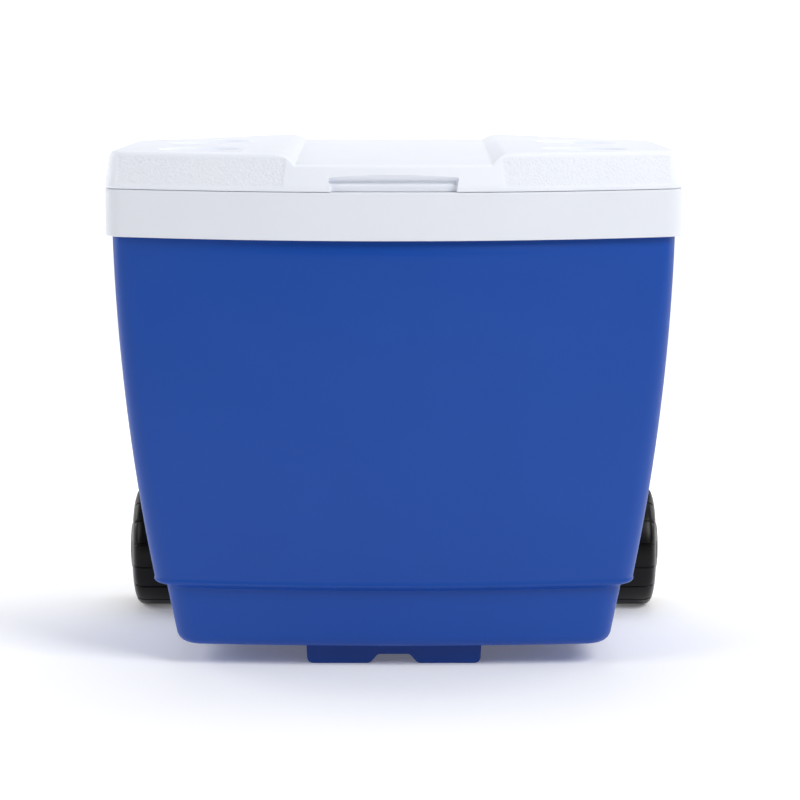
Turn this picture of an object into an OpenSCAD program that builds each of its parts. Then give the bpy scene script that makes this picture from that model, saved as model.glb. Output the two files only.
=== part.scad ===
// Insulated cooler on two wheels, with a hinged lid, a telescopic tow handle and a drain.
// Millimetres. +Z up, +X to the right seen from the front, front towards -Y.
// Origin: on the ground, under the centre of the whole object.

/* [Rim and lid] */
// Width across the rim collar
rim_w = 550; // [530:5:570]
// Depth of the rim collar from its bowed front to its flat rear
rim_d = 415; // [405:5:430]
// Height of the rim collar's lower edge
rim_low_z = 420; // [416:1:424]
// Height of the rim collar's top face
rim_top_z = 465.3; // [463:0.1:467]
// How far the collar's edge stands in from its outer face to the liner's mouth
rim_band = 36; // [34:1:40]
// Height of the lid's middle trough
trough_z = 490; // [489.5:0.5:491]
// Height of the raised wings on each side of the trough
wing_z = 500.5; // [499:0.5:503]
// Half width of the trough at its floor
trough_half = 98; // [97:1:104]
// Half width of the finger recess in the lid's front edge
recess_half = 58.5; // [40:0.5:66]
// Depth of the finger recess
recess_d = 11; // [9:0.5:12]
// Radius of a cup recess in the lid
cup_r = 42; // [36:1:46]
// Height of a cup recess floor
cup_floor_z = 488; // [488:0.5:490]

/* [Body] */
// Half width of the body under the collar
body_top_half = 268.4; // [266:0.2:269]
// How far each side draws in from the collar to the step
side_draw = 37.4; // [34:0.2:40]
// How far the front draws back from the collar to the step
front_draw = 30; // [26:1:34]
// How far the rear wall leans in from the collar to the step
rear_draw = 24; // [20:1:28]
// Height of the step above the base
step_z = 82; // [78:1:86]
// Half width of the base under the step
base_top_half = 221.4; // [219:0.2:223]
// Half width of the base at its bottom
base_low_half = 210; // [206:1:214]
// Height of the base's underside
base_z = 20.5; // [18:0.5:23]
// Wall of the outer shell
shell_wall = 3; // [2.5:0.1:3.4]
// Wall of the inner liner
liner_wall = 2.5; // [2:0.1:3]
// Height of the liner's floor
floor_z = 56; // [52:1:60]

/* [Wheels and foot] */
// Wheel radius
wheel_r = 62.5; // [60:0.5:64]
// Wheel width from hub face to hub face
wheel_w = 46; // [40:1:46]
// Distance of each wheel's inner face from the middle plane
wheel_in = 232; // [231.5:0.5:234]
// Distance of the axles behind the collar's front
axle_back = 366; // [362:1:368]
// Axle radius
axle_r = 6; // [5:0.5:6]
// Half width of the front foot
foot_half = 84.4; // [80:0.2:90]
// Depth of the front foot
foot_d = 46; // [36:2:60]
// Distance of the front foot behind the collar's front
foot_back = 75; // [72:1:85]
// Height of the notch under the foot
foot_notch_z = 9.3; // [7:0.1:12]

/* [Tow handle] */
// Half distance between the handle's tubes
tube_half = 70; // [64:1:74]
// Distance of the tubes behind the collar's front, at the height of the lid's hinge
tube_back = 447; // [446:0.5:450]
// Radius of the fixed outer tubes
outer_tube_r = 9; // [8.8:0.1:9.2]
// Radius of the sliding middle tubes
mid_tube_r = 7.2; // [7:0.1:7.2]
// Radius of the inner rods
rod_r = 5.5; // [5.2:0.1:5.5]
// Radius of the grip
grip_r = 10.5; // [9.5:0.5:10.5]
// Half length of the grip
grip_half = 92; // [86:1:93]

/* [Hinges and drain] */
// Distance of the hinges from the middle plane
hinge_x = 170; // [160:5:185]
// Height of the hinge axis
hinge_z = 478; // [477:0.5:479]
// Distance of the hinge axis behind the collar's rear face
hinge_back = 5.5; // [5.3:0.1:6]
// Radius of a hinge knuckle
knuckle_r = 4.5; // [4:0.1:4.7]
// Height of the drain
drain_z = 72; // [71:1:76]
// Radius of the drain's bore
drain_bore_r = 6.5; // [5.5:0.5:7]

/* [Hidden] */
eps = 0.3;                // gap between pieces that lie against each other
run = 0.05;               // radial running fit of a pin or shaft
lean = atan(rear_draw / (rim_low_z - 2 - step_z));
grip_s = -5;              // grip centre along the handle, from the hinge's height
depth_all = tube_back + grip_s * sin(lean) + grip_r;
y_front = -depth_all / 2;
y_rear = y_front + rim_d;
rim_half = rim_w / 2;
front_bow = 6.6e-4;       // how fast the collar's front falls back, per mm squared
step_bow = 3.95e-4;
base_bow = 2.8e-4;
corner_r = 25;            // outer corners in plan
inner_corner_r = 30;      // liner corners in plan
skirt_t = 4.5;            // the collar's skirt outside the body
shell_top = rim_low_z + 26;
step_drop = 4;            // height of the sloping step
front_tuck = 8;           // the body's front under the collar, behind the collar's front
base_low_tuck = 52;       // the base's front at its bottom, behind the collar's front
base_top_tuck = 45;       // and at its top
base_rear_draw = 7;       // how far the base's rear leans in
base_round = 10;          // rounding under the base
front_steps = 6;
corner_steps = 5;
wall_levels = 9;
liner_top = shell_top + eps + 2.8;
cap_under = liner_top + eps;
flange_in = 7;            // the liner's flange, inside the collar's outer face
foam_floor_top = floor_z - liner_wall - eps;
lid_low = rim_top_z + 0.5;
wing_ramp = 9;            // how far a wing's inner wall leans out from the trough
wing_back = 17.5;         // a wing's front edge, behind the lid's lower front edge
wing_fall = 0.0123;       // slope of a wing's inner side towards the rear
wing_twist = 1e-4;        // how much steeper that slope gets, per mm outwards
lid_wall = 3;
recess_h = 9;             // height of the finger recess at its back
recess_face_h = 16.7;     // and where it comes out of the lid's front
recess_lip = 2.5;         // how deep it still is there
cup_x = 186;
cup_back = [125, 290];    // cup recesses, behind the collar's front
pan_wall = 2.5;
plug_gap = 5;             // between the lid's plug and the liner's mouth
plug_draft = 5;           // how much narrower the plug is at its bottom, each side
plug_low = rim_top_z - 25;
liner_low_half = 194;
liner_low_front = 76;
liner_low_rear = 346;
floor_round = 8;
well_r = wheel_r + 5.5;   // wheel arch radius
well_in = wheel_in - 5;
scoop_half = 60;          // hand hold under the collar
scoop_in = 250;
scoop_low = 382;
scoop_top = 440;
scoop_out = scoop_in + 30;
scoop_fall = 22;          // how far the hand hold's floor falls outwards
boss_flange_r = 14;
boss_r = 9.5;
boss_in = 160;
foot_pad_in = 23.6;
foot_notch_top = 15.5;
foot_chamfer = 3;
foot_screw_x = 52;
washer_t = 1.4;
axle_cap_r = 11;
screw_r = 1.9;
head_r = 3.8;
head_t = 2;
handle_gap = 0.4;         // clearance between sliding tubes
tube_low = -372;          // places along the handle, from the hinge's height
tube_top = -66;
guide_low = -92;
guide_top = -62;
mid_low = -365;
mid_top = -36;
bush_low = -50;
bush_top = -28;
bush_step = -34;
rod_low = -358;
rod_top = -6;
bracket_h = 27;
plate_t = 4;
plate_half = 102;         // half width of a handle bracket's screw plate
plate_screw_x = 93;
upper_screw_z = guide_low + 13;
lower_screw_z = tube_low + 10;
core_w = 31;              // width of a bracket's cored-out pocket
wall_back = 407;          // rear wall under the collar, behind the collar's front
wall_gap = (tube_back - wall_back) * cos(lean) - (hinge_z - (rim_low_z - 2)) * sin(lean);
hinge_y = y_rear + hinge_back;
leaf_t = 2.2;
leaf_half = 22;
stem_half = 9.5;
leaf_low = 5.3;           // a leaf's screw plate, above the hinge axis
leaf_plate_h = 7.4;
leaf_screw_z = 9;
base_plate_h = 32;        // a hinge base's screw plate, under the hinge axis
base_plate_low = -46;
base_screw_z = -36;
hinge_screw_x = 15;
pin_r = 2.4;
drain_tilt = 5;
drain_in = -46;           // inner end of the drain's pipe, from the rear wall's outer face
drain_out = 12;           // and its outer end
drain_flange_t = 3;
drain_pipe_r = drain_bore_r + 2.5;
drain_flange_r = 15;
cap_pin_up = 18.5;
cap_pin_r = 1.2;
cap_arm = 5;
cap_pin_z = 7;            // the cap's pin, out from the rear wall
cap_under_z = drain_out + 0.4;
cap_t = 3;
cap_eye_r = 2.6;
ear_x = 8;                // the cap's two ears on the flange
ear_t = 4;
blue = [0.16, 0.29, 0.62];
dark_blue = [0.07, 0.19, 0.42];
white = [0.93, 0.94, 0.96];
foam_yellow = [0.93, 0.88, 0.70];
black = [0.08, 0.08, 0.08];
steel = [0.72, 0.73, 0.75];

// ---- Outlines and lofts ----

function mix(a, b, t) = a + (b - a) * t;

// Plan outline, anticlockwise from above: bowed front, straight sides, flat rear, round corners.
function outline(half, front, rear, bow, rf, rr) =
    let (a = atan(2 * bow * (half - rf)), xc = half - rf, xp = xc + rf * sin(a),
         cy = front + bow * xp * xp + rf * cos(a), xr = half - rr, yr = rear - rr)
    concat(
        [for (i = [-front_steps : front_steps])
            let (x = xp * i / front_steps) [x, front + bow * x * x]],
        [for (i = [1 : corner_steps])
            let (t = mix(a - 90, 0, i / corner_steps)) [xc + rf * cos(t), cy + rf * sin(t)]],
        [for (i = [0 : corner_steps])
            let (t = 90 * i / corner_steps) [xr + rr * cos(t), yr + rr * sin(t)]],
        [for (i = [0 : corner_steps])
            let (t = 90 + 90 * i / corner_steps) [rr * cos(t) - xr, yr + rr * sin(t)]],
        [for (i = [0 : corner_steps - 1])
            let (t = mix(180, 270 - a, i / corner_steps)) [rf * cos(t) - xc, cy + rf * sin(t)]]);

function at_z(ring, z) = [for (p = ring) [p.x, p.y, z]];

// Skins a list of rings; closed joins the last ring to the first, otherwise both ends are capped.
module loft(rings, closed = false) {
    n = len(rings[0]);
    m = len(rings);
    sides = [for (j = [0 : m - (closed ? 1 : 2)], i = [0 : n - 1])
        let (b = j * n, t = ((j + 1) % m) * n, k = (i + 1) % n)
        each [[b + i, t + i, t + k], [b + i, t + k, b + k]]];
    caps = closed ? [] : [[for (i = [0 : n - 1]) i], [for (i = [n - 1 : -1 : 0]) (m - 1) * n + i]];
    polyhedron(points = [for (r = rings) each r], faces = concat(sides, caps));
}

// ---- Body profile ----

function fall(z) = let (t = (rim_low_z - 2 - z) / (rim_low_z - 2 - step_z)) 0.29 * t + 0.71 * t * t;
function base_t(z) = (z - base_z) / (step_z - step_drop - base_z);
function body_half(z) = z >= step_z ? body_top_half - side_draw * fall(z)
    : mix(base_low_half, base_top_half, base_t(z));
function body_front(z) = y_front + (z >= step_z ? front_tuck + front_draw * fall(z)
    : mix(base_low_tuck, base_top_tuck, base_t(z)));
function rear_back(z) = wall_back - rear_draw * (rim_low_z - 2 - z) / (rim_low_z - 2 - step_z);
function body_rear(z) = y_front + (z >= step_z ? rear_back(z)
    : mix(rear_back(step_z) - base_rear_draw, rear_back(step_z), base_t(z)));
function body_bow(z) = z >= step_z ? mix(step_bow, front_bow, (z - step_z) / (rim_low_z - step_z))
    : mix(base_bow, step_bow, base_t(z));
function body_ring(z, inset, lift = 0) = at_z(outline(body_half(z) - inset,
    body_front(z) + inset, body_rear(z) - inset, body_bow(z),
    max(corner_r - inset, 8), max(corner_r - inset, 8)), z + lift);

// The body's skin, moved inwards by inset: its rounded underside, then its walls up to a level top.
function under_rings(inset) = [
    body_ring(base_z, base_round + 0.6 * inset, inset),
    body_ring(base_z + 0.3 * base_round, 0.35 * base_round + inset, inset),
    body_ring(base_z + base_round, inset, 0.4 * inset)];
function wall_rings(inset, top) = concat(
    [body_ring(step_z - step_drop, inset, 0.8 * inset), body_ring(step_z, inset, 0.8 * inset)],
    [for (i = [1 : wall_levels]) body_ring(mix(step_z, rim_low_z, i / wall_levels), inset)],
    [body_ring(top, inset)]);
function body_rings(inset, top) = concat(under_rings(inset), wall_rings(inset, top));

module both_sides() {
    children();
    mirror([1, 0, 0]) children();
}

module on_axle() {
    translate([0, y_front + axle_back, wheel_r]) rotate([0, 90, 0]) children();
}

module wheel_wells(grow) {
    both_sides() on_axle() translate([0, 0, well_in - grow])
        cylinder(r = well_r + grow, h = 80, $fn = 96);
}

module grip_scoops(grow) {
    side_y = y_front + rim_d / 2;
    both_sides() translate([0, side_y + scoop_half + grow, 0]) rotate([90, 0, 0])
        linear_extrude(2 * (scoop_half + grow))
            polygon([[scoop_in - grow, scoop_low - grow], [scoop_out, scoop_low - scoop_fall - grow],
                     [scoop_out, scoop_top + grow], [scoop_in - grow, scoop_top + grow]]);
}

module axle_holes(r) {
    both_sides() on_axle() translate([0, 0, boss_in - eps]) cylinder(r = r, h = 90, $fn = 48);
}

module body_shell() {
    color(blue) difference() {
        loft(body_rings(0, shell_top));
        wheel_wells(0);
        grip_scoops(0);
        difference() {
            loft(body_rings(shell_wall, shell_top + 4));
            wheel_wells(shell_wall);
            grip_scoops(shell_wall);
        }
        axle_holes(boss_r + eps);
        drain_way(drain_pipe_r + eps);
    }
}

// The foam's outline where its floor block ends and its walls begin.
function foam_joint_ring(z, gap) = body_ring(z - 0.6 * gap, gap, 0.6 * gap);

module foam_floor() {
    gap = shell_wall + eps;
    color(foam_yellow) difference() {
        loft(concat(under_rings(gap), [foam_joint_ring(foam_floor_top, gap)]));
        axle_holes(boss_r + eps);
    }
}

module insulation_foam() {
    gap = shell_wall + eps;
    color(foam_yellow) difference() {
        loft(concat([foam_joint_ring(foam_floor_top + eps, gap)], wall_rings(gap, shell_top - eps)));
        wheel_wells(gap);
        grip_scoops(gap);
        loft([liner_ring(floor_z, liner_wall + eps - floor_round, -liner_wall - eps),
              liner_ring(floor_z + floor_round, liner_wall + eps),
              liner_ring(shell_top + 1, liner_wall + eps)]);
        axle_holes(boss_r + eps);
        drain_way(drain_pipe_r + eps);
    }
}

// ---- Liner and collar ----

function liner_t(z) = (z - floor_z - floor_round) / (liner_top - floor_z - floor_round);
function liner_ring(z, out, lift = 0) =
    let (t = max(liner_t(z), 0))
    at_z(outline(mix(liner_low_half, rim_half - rim_band, t) + out,
        y_front + mix(liner_low_front, rim_band, t) - out,
        y_front + mix(liner_low_rear, rim_d - rim_band, t) + out,
        mix(step_bow, front_bow, t), inner_corner_r + out, inner_corner_r + out), z + lift);
function rim_ring(z, inset) = at_z(outline(rim_half - inset, y_front + inset, y_rear - inset,
    front_bow, max(corner_r - inset, 8), max(corner_r - inset, 8)), z);

module liner() {
    color(white) difference() {
        loft([liner_ring(floor_z, liner_wall - floor_round, -liner_wall),
              liner_ring(floor_z + floor_round, liner_wall), liner_ring(shell_top + eps, liner_wall),
              rim_ring(shell_top + eps, flange_in), rim_ring(liner_top, flange_in),
              liner_ring(liner_top, 0),
              liner_ring(floor_z + floor_round, 0), liner_ring(floor_z, -floor_round)]);
        drain_way(drain_pipe_r + eps);
    }
}

module rim_collar() {
    mouth = [for (z = [rim_top_z, cap_under]) at_z(liner_ring(liner_top, 0), z)];
    color(white) loft([rim_ring(rim_low_z, 0.6), rim_ring(rim_low_z + 1, 0), rim_ring(rim_top_z - 1.3, 0),
        rim_ring(rim_top_z, 1.3), mouth[0], mouth[1], rim_ring(cap_under, skirt_t),
        rim_ring(rim_low_z + 1, skirt_t), rim_ring(rim_low_z, skirt_t - 0.6)], closed = true);
}

// ---- Lid ----

function lid_ring(z, side, front, rear) = at_z(outline(rim_half - side, y_front + front, y_rear - rear,
    front_bow, max(corner_r - side, 8), max(corner_r - side, 8)), z);
function slab_rings(inset) = [
    lid_ring(lid_low - (inset > 0 ? 2 : 0), inset, inset, inset),
    lid_ring(lid_low + 4, 0.4 + inset, 0.6 + inset, inset),
    lid_ring(trough_z - 4 - 0.4 * inset, 2.4 + inset, 10 + inset, 0.3 + inset),
    lid_ring(trough_z - inset, 6 + inset, 13.5 + inset, 1.5 + inset)];

// Height of a wing's top: level along its front edge, falling to the rear, fastest on its outer side.
function wing_top(p, drop) =
    let (back = max(p.y - y_front - wing_back - front_bow * p.x * p.x, 0))
    wing_z - drop - back * (wing_fall + wing_twist * max(p.x - trough_half - wing_ramp, 0));
// One wing's outline, on the right, with its inner edge at inner.
function wing_outline(inner, side, front, rear) =
    let (half = rim_half - side, r = corner_r, a = atan(2 * front_bow * (half - r)), xc = half - r,
         xp = xc + r * sin(a), f = y_front + front, cy = f + front_bow * xp * xp + r * cos(a),
         yr = y_rear - rear)
    concat(
        [for (i = [0 : 4]) let (x = mix(inner, xp, i / 4)) [x, f + front_bow * x * x]],
        [for (i = [1 : corner_steps])
            let (t = mix(a - 90, 0, i / corner_steps)) [xc + r * cos(t), cy + r * sin(t)]],
        [for (i = [0 : corner_steps])
            let (t = 90 * i / corner_steps) [xc + r * cos(t), yr - r + r * sin(t)]],
        [[inner, yr]]);
function wing_cap(drop, inner, side, front, rear, high = wing_z) =
    [for (p = wing_outline(inner, side, front, rear)) [p.x, p.y, min(wing_top(p, drop), high)]];
function wing_rings(inset) = [
    at_z(wing_outline(trough_half - 5 + inset, 2.6 + inset, 8.2 + inset, 0.4 + inset),
        trough_z - 9 - 2 * inset),
    wing_cap(5 + inset, trough_half + inset, 3.2 + inset, 12.7 + inset, 0.6 + inset, trough_z - inset),
    wing_cap(3.5 + inset, trough_half + 6 + inset, 5 + inset, 15.5 + inset, 1.6 + inset),
    wing_cap(inset, trough_half + wing_ramp + inset, 9 + inset, wing_back + inset, 6 + inset)];

module finger_recess(grow) {
    translate([-recess_half - grow, 0, 0]) rotate([90, 0, 90]) linear_extrude(2 * (recess_half + grow))
        polygon([[y_front - 20, lid_low - 5], [y_front + recess_d + grow, lid_low - 5],
                 [y_front + recess_d + grow, lid_low + recess_h + grow],
                 [y_front + recess_lip + grow, lid_low + recess_face_h + grow],
                 [y_front - 20, lid_low + recess_face_h + grow]]);
}

module cup_recesses(grow) {
    for (x = [-cup_x, cup_x], back = cup_back)
        translate([x, y_front + back, cup_floor_z - grow]) cylinder(r = cup_r + grow, h = 30, $fn = 72);
}

module lid_shell() {
    color(white) difference() {
        union() {
            loft(slab_rings(0));
            both_sides() loft(wing_rings(0));
        }
        difference() {
            union() {
                loft(slab_rings(lid_wall));
                both_sides() loft(wing_rings(lid_wall));
            }
            finger_recess(lid_wall);
            cup_recesses(lid_wall);
        }
        finger_recess(0);
        cup_recesses(0);
    }
}

function plug_ring(z, inset) = at_z(outline(rim_half - rim_band - plug_gap - inset,
    y_front + rim_band + plug_gap + inset, y_rear - rim_band - plug_gap - inset,
    front_bow, inner_corner_r - inset, inner_corner_r - inset), z);
function pan_edge(z) = lid_ring(z, 3.4, 3.9, 3.4);

module lid_pan() {
    color(white) difference() {
        loft([plug_ring(plug_low, plug_draft), plug_ring(lid_low + eps, 0), pan_edge(lid_low + eps),
              pan_edge(lid_low + eps + pan_wall), plug_ring(lid_low + eps + pan_wall, pan_wall),
              plug_ring(plug_low + pan_wall, plug_draft + pan_wall)]);
        finger_recess(lid_wall + eps);
    }
}

module lid_foam() {
    low = lid_low + 2 * eps + pan_wall;
    skin = pan_wall + eps;
    color(foam_yellow) difference() {
        loft([plug_ring(plug_low + skin, plug_draft + skin), plug_ring(low, skin),
              lid_ring(low, 4, 5, 3.7), lid_ring(trough_z - 5, 5.9, 13.5, 4),
              lid_ring(trough_z - 3.4, 9.5, 17.2, 5)]);
        finger_recess(lid_wall + eps);
        cup_recesses(lid_wall + eps);
    }
}

// ---- Foot ----

module front_foot() {
    top = base_z - eps;
    color(dark_blue) difference() {
        translate([0, y_front + foot_back + foot_d, 0]) rotate([90, 0, 0]) linear_extrude(foot_d)
            polygon([[foot_pad_in, 0], [foot_half - foot_chamfer, 0], [foot_half, foot_chamfer],
                     [foot_half + 1, top], [-foot_half - 1, top], [-foot_half, foot_chamfer],
                     [foot_chamfer - foot_half, 0], [-foot_pad_in, 0],
                     [-foot_notch_top, foot_notch_z], [foot_notch_top, foot_notch_z]]);
        foot_screw_places() {
            translate([0, 0, -1]) cylinder(r = head_r + 1.2, h = 11, $fn = 32);
            cylinder(r = screw_r + 0.3, h = 40, $fn = 24);
        }
    }
}

module foot_screw_places() {
    for (x = [-foot_screw_x, foot_screw_x])
        translate([x, y_front + foot_back + foot_d / 2, 0]) children();
}

// A pan head screw, its head's outer face at the origin and its shank along +Z.
module screw(length) {
    difference() {
        cylinder(r = head_r, h = head_t, $fn = 32);
        translate([0, 0, -0.1]) for (a = [0, 90]) rotate(a)
            translate([-2.4, -0.5, 0]) cube([4.8, 1, 1.3]);
    }
    translate([0, 0, head_t - 0.5]) cylinder(r = screw_r, h = length, $fn = 24);
}

module screw_hole() {
    cylinder(r = screw_r + 0.3, h = 30, center = true, $fn = 24);
}

module foot_screws() {
    color(steel) foot_screw_places() translate([0, 0, 7.8]) screw(24);
}

// ---- Wheels and axles ----

module axle_boss() {
    color(dark_blue) on_axle() difference() {
        union() {
            translate([0, 0, boss_in]) cylinder(r = boss_r, h = well_in + eps - boss_in + 1, $fn = 48);
            translate([0, 0, well_in + eps]) cylinder(r = boss_flange_r, h = 2, $fn = 48);
        }
        translate([0, 0, boss_in + 4]) cylinder(r = axle_r + run, h = 90, $fn = 48);
    }
}

module axle() {
    color(steel) on_axle() translate([0, 0, boss_in + 5])
        cylinder(r = axle_r, h = wheel_in + wheel_w - 2 - boss_in - 5, $fn = 48);
}

module axle_cap() {
    color(steel) on_axle() translate([0, 0, wheel_in + wheel_w - 5.4]) rotate_extrude($fn = 64)
        polygon([[axle_r + run, 0], [axle_cap_r, 0], [axle_cap_r, 1.2], [axle_cap_r - 2, 3.6],
                 [axle_cap_r - 6, 4.8], [0, 5], [0, 3.6], [axle_r + run, 3.6]]);
}

module wheel_washers() {
    color(steel) both_sides() on_axle() translate([0, 0, wheel_in - washer_t - 0.6]) difference() {
        cylinder(r = boss_flange_r - 2, h = washer_t, $fn = 48);
        translate([0, 0, -1]) cylinder(r = axle_r + 0.2, h = 4, $fn = 48);
    }
}

module wheel() {
    r = wheel_r;
    w = wheel_w;
    color(black) on_axle() translate([0, 0, wheel_in]) rotate_extrude($fn = 128)
        polygon([[axle_r + run, 0], [13, 0], [13, w - 12], [26, w - 5], [40, w - 7.4],
                 [r - 11.5, w - 10.5], [r - 6, w - 15], [r - 6, 0], [r - 2.5, 0], [r - 0.8, 0.8],
                 [r, 3], [r, w - 15], [r - 1.3, w - 11], [r - 5.5, w - 7.4], [r - 16.5, w - 4],
                 [r - 26.5, w - 2], [24, w], [14, w], [14, w - 6], [axle_r + run, w - 6]]);
}

// ---- Tow handle ----

// The handle's own frame: Z runs up the tubes, parallel to the leaning rear wall.
module on_handle(x = 0) {
    translate([x, y_front + tube_back, hinge_z]) rotate([-lean, 0, 0]) children();
}

module tube(r_out, r_in, low, high) {
    translate([0, 0, low]) difference() {
        cylinder(r = r_out, h = high - low, $fn = 48);
        translate([0, 0, -1]) cylinder(r = r_in, h = high - low + 2, $fn = 48);
    }
}

module handle_tube() {
    color(steel) on_handle(tube_half)
        tube(outer_tube_r, mid_tube_r + handle_gap, tube_low + 3, tube_top);
}

module handle_mid() {
    color(steel) on_handle(tube_half) tube(mid_tube_r, rod_r + handle_gap, mid_low, mid_top);
}

module handle_mid_bush() {
    color(black) on_handle(tube_half) difference() {
        translate([0, 0, bush_low]) cylinder(r = mid_tube_r + 2.2, h = bush_top - bush_low, $fn = 48);
        translate([0, 0, bush_low - 1])
            cylinder(r = mid_tube_r + run, h = bush_step - bush_low + 1, $fn = 48);
        translate([0, 0, bush_step - 1]) cylinder(r = rod_r + run, h = 20, $fn = 48);
    }
}

module handle_rod() {
    color(steel) on_handle(tube_half) translate([0, 0, rod_low])
        cylinder(r = rod_r, h = rod_top - rod_low, $fn = 48);
}

module handle_grip() {
    reach = grip_half - grip_r;
    color(black) on_handle() difference() {
        translate([0, 0, grip_s]) {
            translate([-reach, 0, 0]) rotate([0, 90, 0]) cylinder(r = grip_r, h = 2 * reach, $fn = 64);
            for (x = [-reach, reach]) translate([x, 0, 0]) sphere(r = grip_r, $fn = 64);
        }
        for (x = [-tube_half, tube_half]) translate([x, 0, grip_s - 30])
            cylinder(r = rod_r + run, h = rod_top - grip_s + 30 + eps, $fn = 48);
    }
}

// A bracket on the rear wall that holds both tubes between low and low + h, cored out from below.
module tube_bracket(low, h) {
    wall = eps - wall_gap;
    cheek = outer_tube_r + plate_t;
    translate([0, 0, low]) difference() {
        union() {
            translate([-plate_half, wall, 0]) cube([2 * plate_half, plate_t, h]);
            translate([-tube_half, wall, 0]) cube([2 * tube_half, outer_tube_r - wall, h]);
            for (s = [-1, 1]) translate([s * tube_half, 0, 0]) {
                cylinder(r = cheek, h = h, $fn = 48);
                translate([-cheek, wall, 0]) cube([2 * cheek, -wall, h]);
            }
        }
        for (x = [-1, 0, 1]) translate([x * (core_w + 5) - core_w / 2, wall + plate_t, -1])
            cube([core_w, outer_tube_r - wall - 2 * plate_t, h - 3]);
    }
}

module handle_upper_guide() {
    color(black) on_handle() difference() {
        tube_bracket(guide_low, guide_top - guide_low);
        for (x = [-tube_half, tube_half]) {
            translate([x, 0, guide_low - 1])
                cylinder(r = outer_tube_r + run, h = tube_top - guide_low + 1 + eps, $fn = 48);
            translate([x, 0, tube_top - 1]) cylinder(r = mid_tube_r + run, h = 20, $fn = 48);
        }
        bracket_screw_places(upper_screw_z) screw_hole();
    }
}

module handle_lower_bracket() {
    color(black) on_handle() difference() {
        tube_bracket(tube_low, bracket_h);
        for (x = [-tube_half, tube_half]) translate([x, 0, tube_low + 3 - eps])
            cylinder(r = outer_tube_r + run, h = bracket_h, $fn = 48);
        bracket_screw_places(lower_screw_z) screw_hole();
    }
}

// Places on a bracket's plate, with Z pointing into the wall.
module bracket_screw_places(z) {
    for (x = [-plate_screw_x, plate_screw_x])
        translate([x, eps - wall_gap + plate_t, z]) rotate([90, 0, 0]) children();
}

module handle_bracket_screws() {
    color(steel) on_handle() for (z = [upper_screw_z, lower_screw_z])
        bracket_screw_places(z) translate([0, 0, -head_t]) screw(16);
}

// ---- Hinges ----

module on_hinge() {
    translate([hinge_x, hinge_y, hinge_z]) children();
}

module knuckle(from, to) {
    translate([from, 0, 0]) rotate([0, 90, 0]) cylinder(r = knuckle_r, h = to - from, $fn = 48);
}

module hinge_pin_way(r, reach) {
    translate([-reach, 0, 0]) rotate([0, 90, 0]) cylinder(r = r, h = 2 * reach, $fn = 32);
}

module hinge_base() {
    face = eps - hinge_back;
    color(black) on_hinge() difference() {
        union() {
            translate([-leaf_half, face, base_plate_low]) cube([2 * leaf_half, leaf_t, base_plate_h]);
            for (s = [0, 1]) mirror([s, 0, 0]) {
                translate([stem_half + 0.5, face, -20])
                    cube([leaf_half - stem_half - 0.5, leaf_t, 20]);
                knuckle(stem_half + 0.5, leaf_half);
            }
        }
        hinge_pin_way(pin_r + run, 40);
        hinge_screw_places(face + leaf_t, base_screw_z) screw_hole();
    }
}

module hinge_leaf() {
    face = eps - hinge_back;
    color(black) on_hinge() difference() {
        union() {
            translate([-stem_half, face, -11]) cube([2 * stem_half, leaf_t, 20]);
            translate([-leaf_half, face, leaf_low]) cube([2 * leaf_half, leaf_t, leaf_plate_h]);
            knuckle(-stem_half, stem_half);
        }
        hinge_pin_way(pin_r + run, 40);
        hinge_screw_places(face + leaf_t, leaf_screw_z) screw_hole();
    }
}

module hinge_pin() {
    color(steel) on_hinge() hinge_pin_way(pin_r, leaf_half + 1.5);
}

// Places on a leaf's rear face, with Z pointing forwards into the collar or the lid.
module hinge_screw_places(y, z) {
    for (x = [-hinge_screw_x, hinge_screw_x]) translate([x, y, z]) rotate([90, 0, 0]) children();
}

module hinge_screws(z) {
    color(steel) both_sides() on_hinge() hinge_screw_places(eps - hinge_back + leaf_t, z)
        translate([0, 0, -head_t]) screw(8);
}

// ---- Drain ----

// The drain's own frame: Z runs outwards and a little down, from the rear wall's outer face.
module on_drain() {
    translate([0, body_rear(drain_z), drain_z]) rotate([-90 - drain_tilt, 0, 0]) children();
}

module drain_way(r) {
    on_drain() translate([0, 0, -60]) cylinder(r = r, h = 80, $fn = 48);
}

// A round bar along the cap's pin.
module across_cap_pin(reach, r) {
    translate([-reach, -cap_pin_up, cap_pin_z]) rotate([0, 90, 0]) cylinder(r = r, h = 2 * reach, $fn = 32);
}

module drain_spout() {
    color(white) on_drain() difference() {
        union() {
            translate([0, 0, drain_in]) cylinder(r = drain_pipe_r, h = drain_out - drain_in, $fn = 48);
            translate([0, 0, drain_flange_t]) cylinder(r = drain_flange_r, h = drain_flange_t, $fn = 64);
            for (x = [-ear_x, ear_x]) translate([x - ear_t / 2, -cap_pin_up - 3, drain_flange_t])
                cube([ear_t, 11, cap_pin_z]);
        }
        translate([0, 0, drain_in - 10]) cylinder(r = drain_bore_r, h = 90, $fn = 48);
        across_cap_pin(20, cap_pin_r + run);
    }
}

module drain_gasket() {
    color(black) on_drain() translate([0, 0, drain_flange_t - 1.9]) difference() {
        cylinder(r = drain_flange_r - 1, h = 1.6, $fn = 64);
        translate([0, 0, -1]) cylinder(r = drain_pipe_r + 0.2, h = 4, $fn = 48);
    }
}

module drain_nut() {
    color(white) on_drain() translate([0, 0, drain_in + 2.5]) difference() {
        cylinder(r = drain_pipe_r + 3, h = 4, $fn = 6);
        translate([0, 0, -1]) cylinder(r = drain_pipe_r + run, h = 6, $fn = 48);
    }
}

module drain_cap_pin() {
    color(steel) on_drain() across_cap_pin(ear_x + ear_t / 2 + 0.5, cap_pin_r);
}

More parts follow.
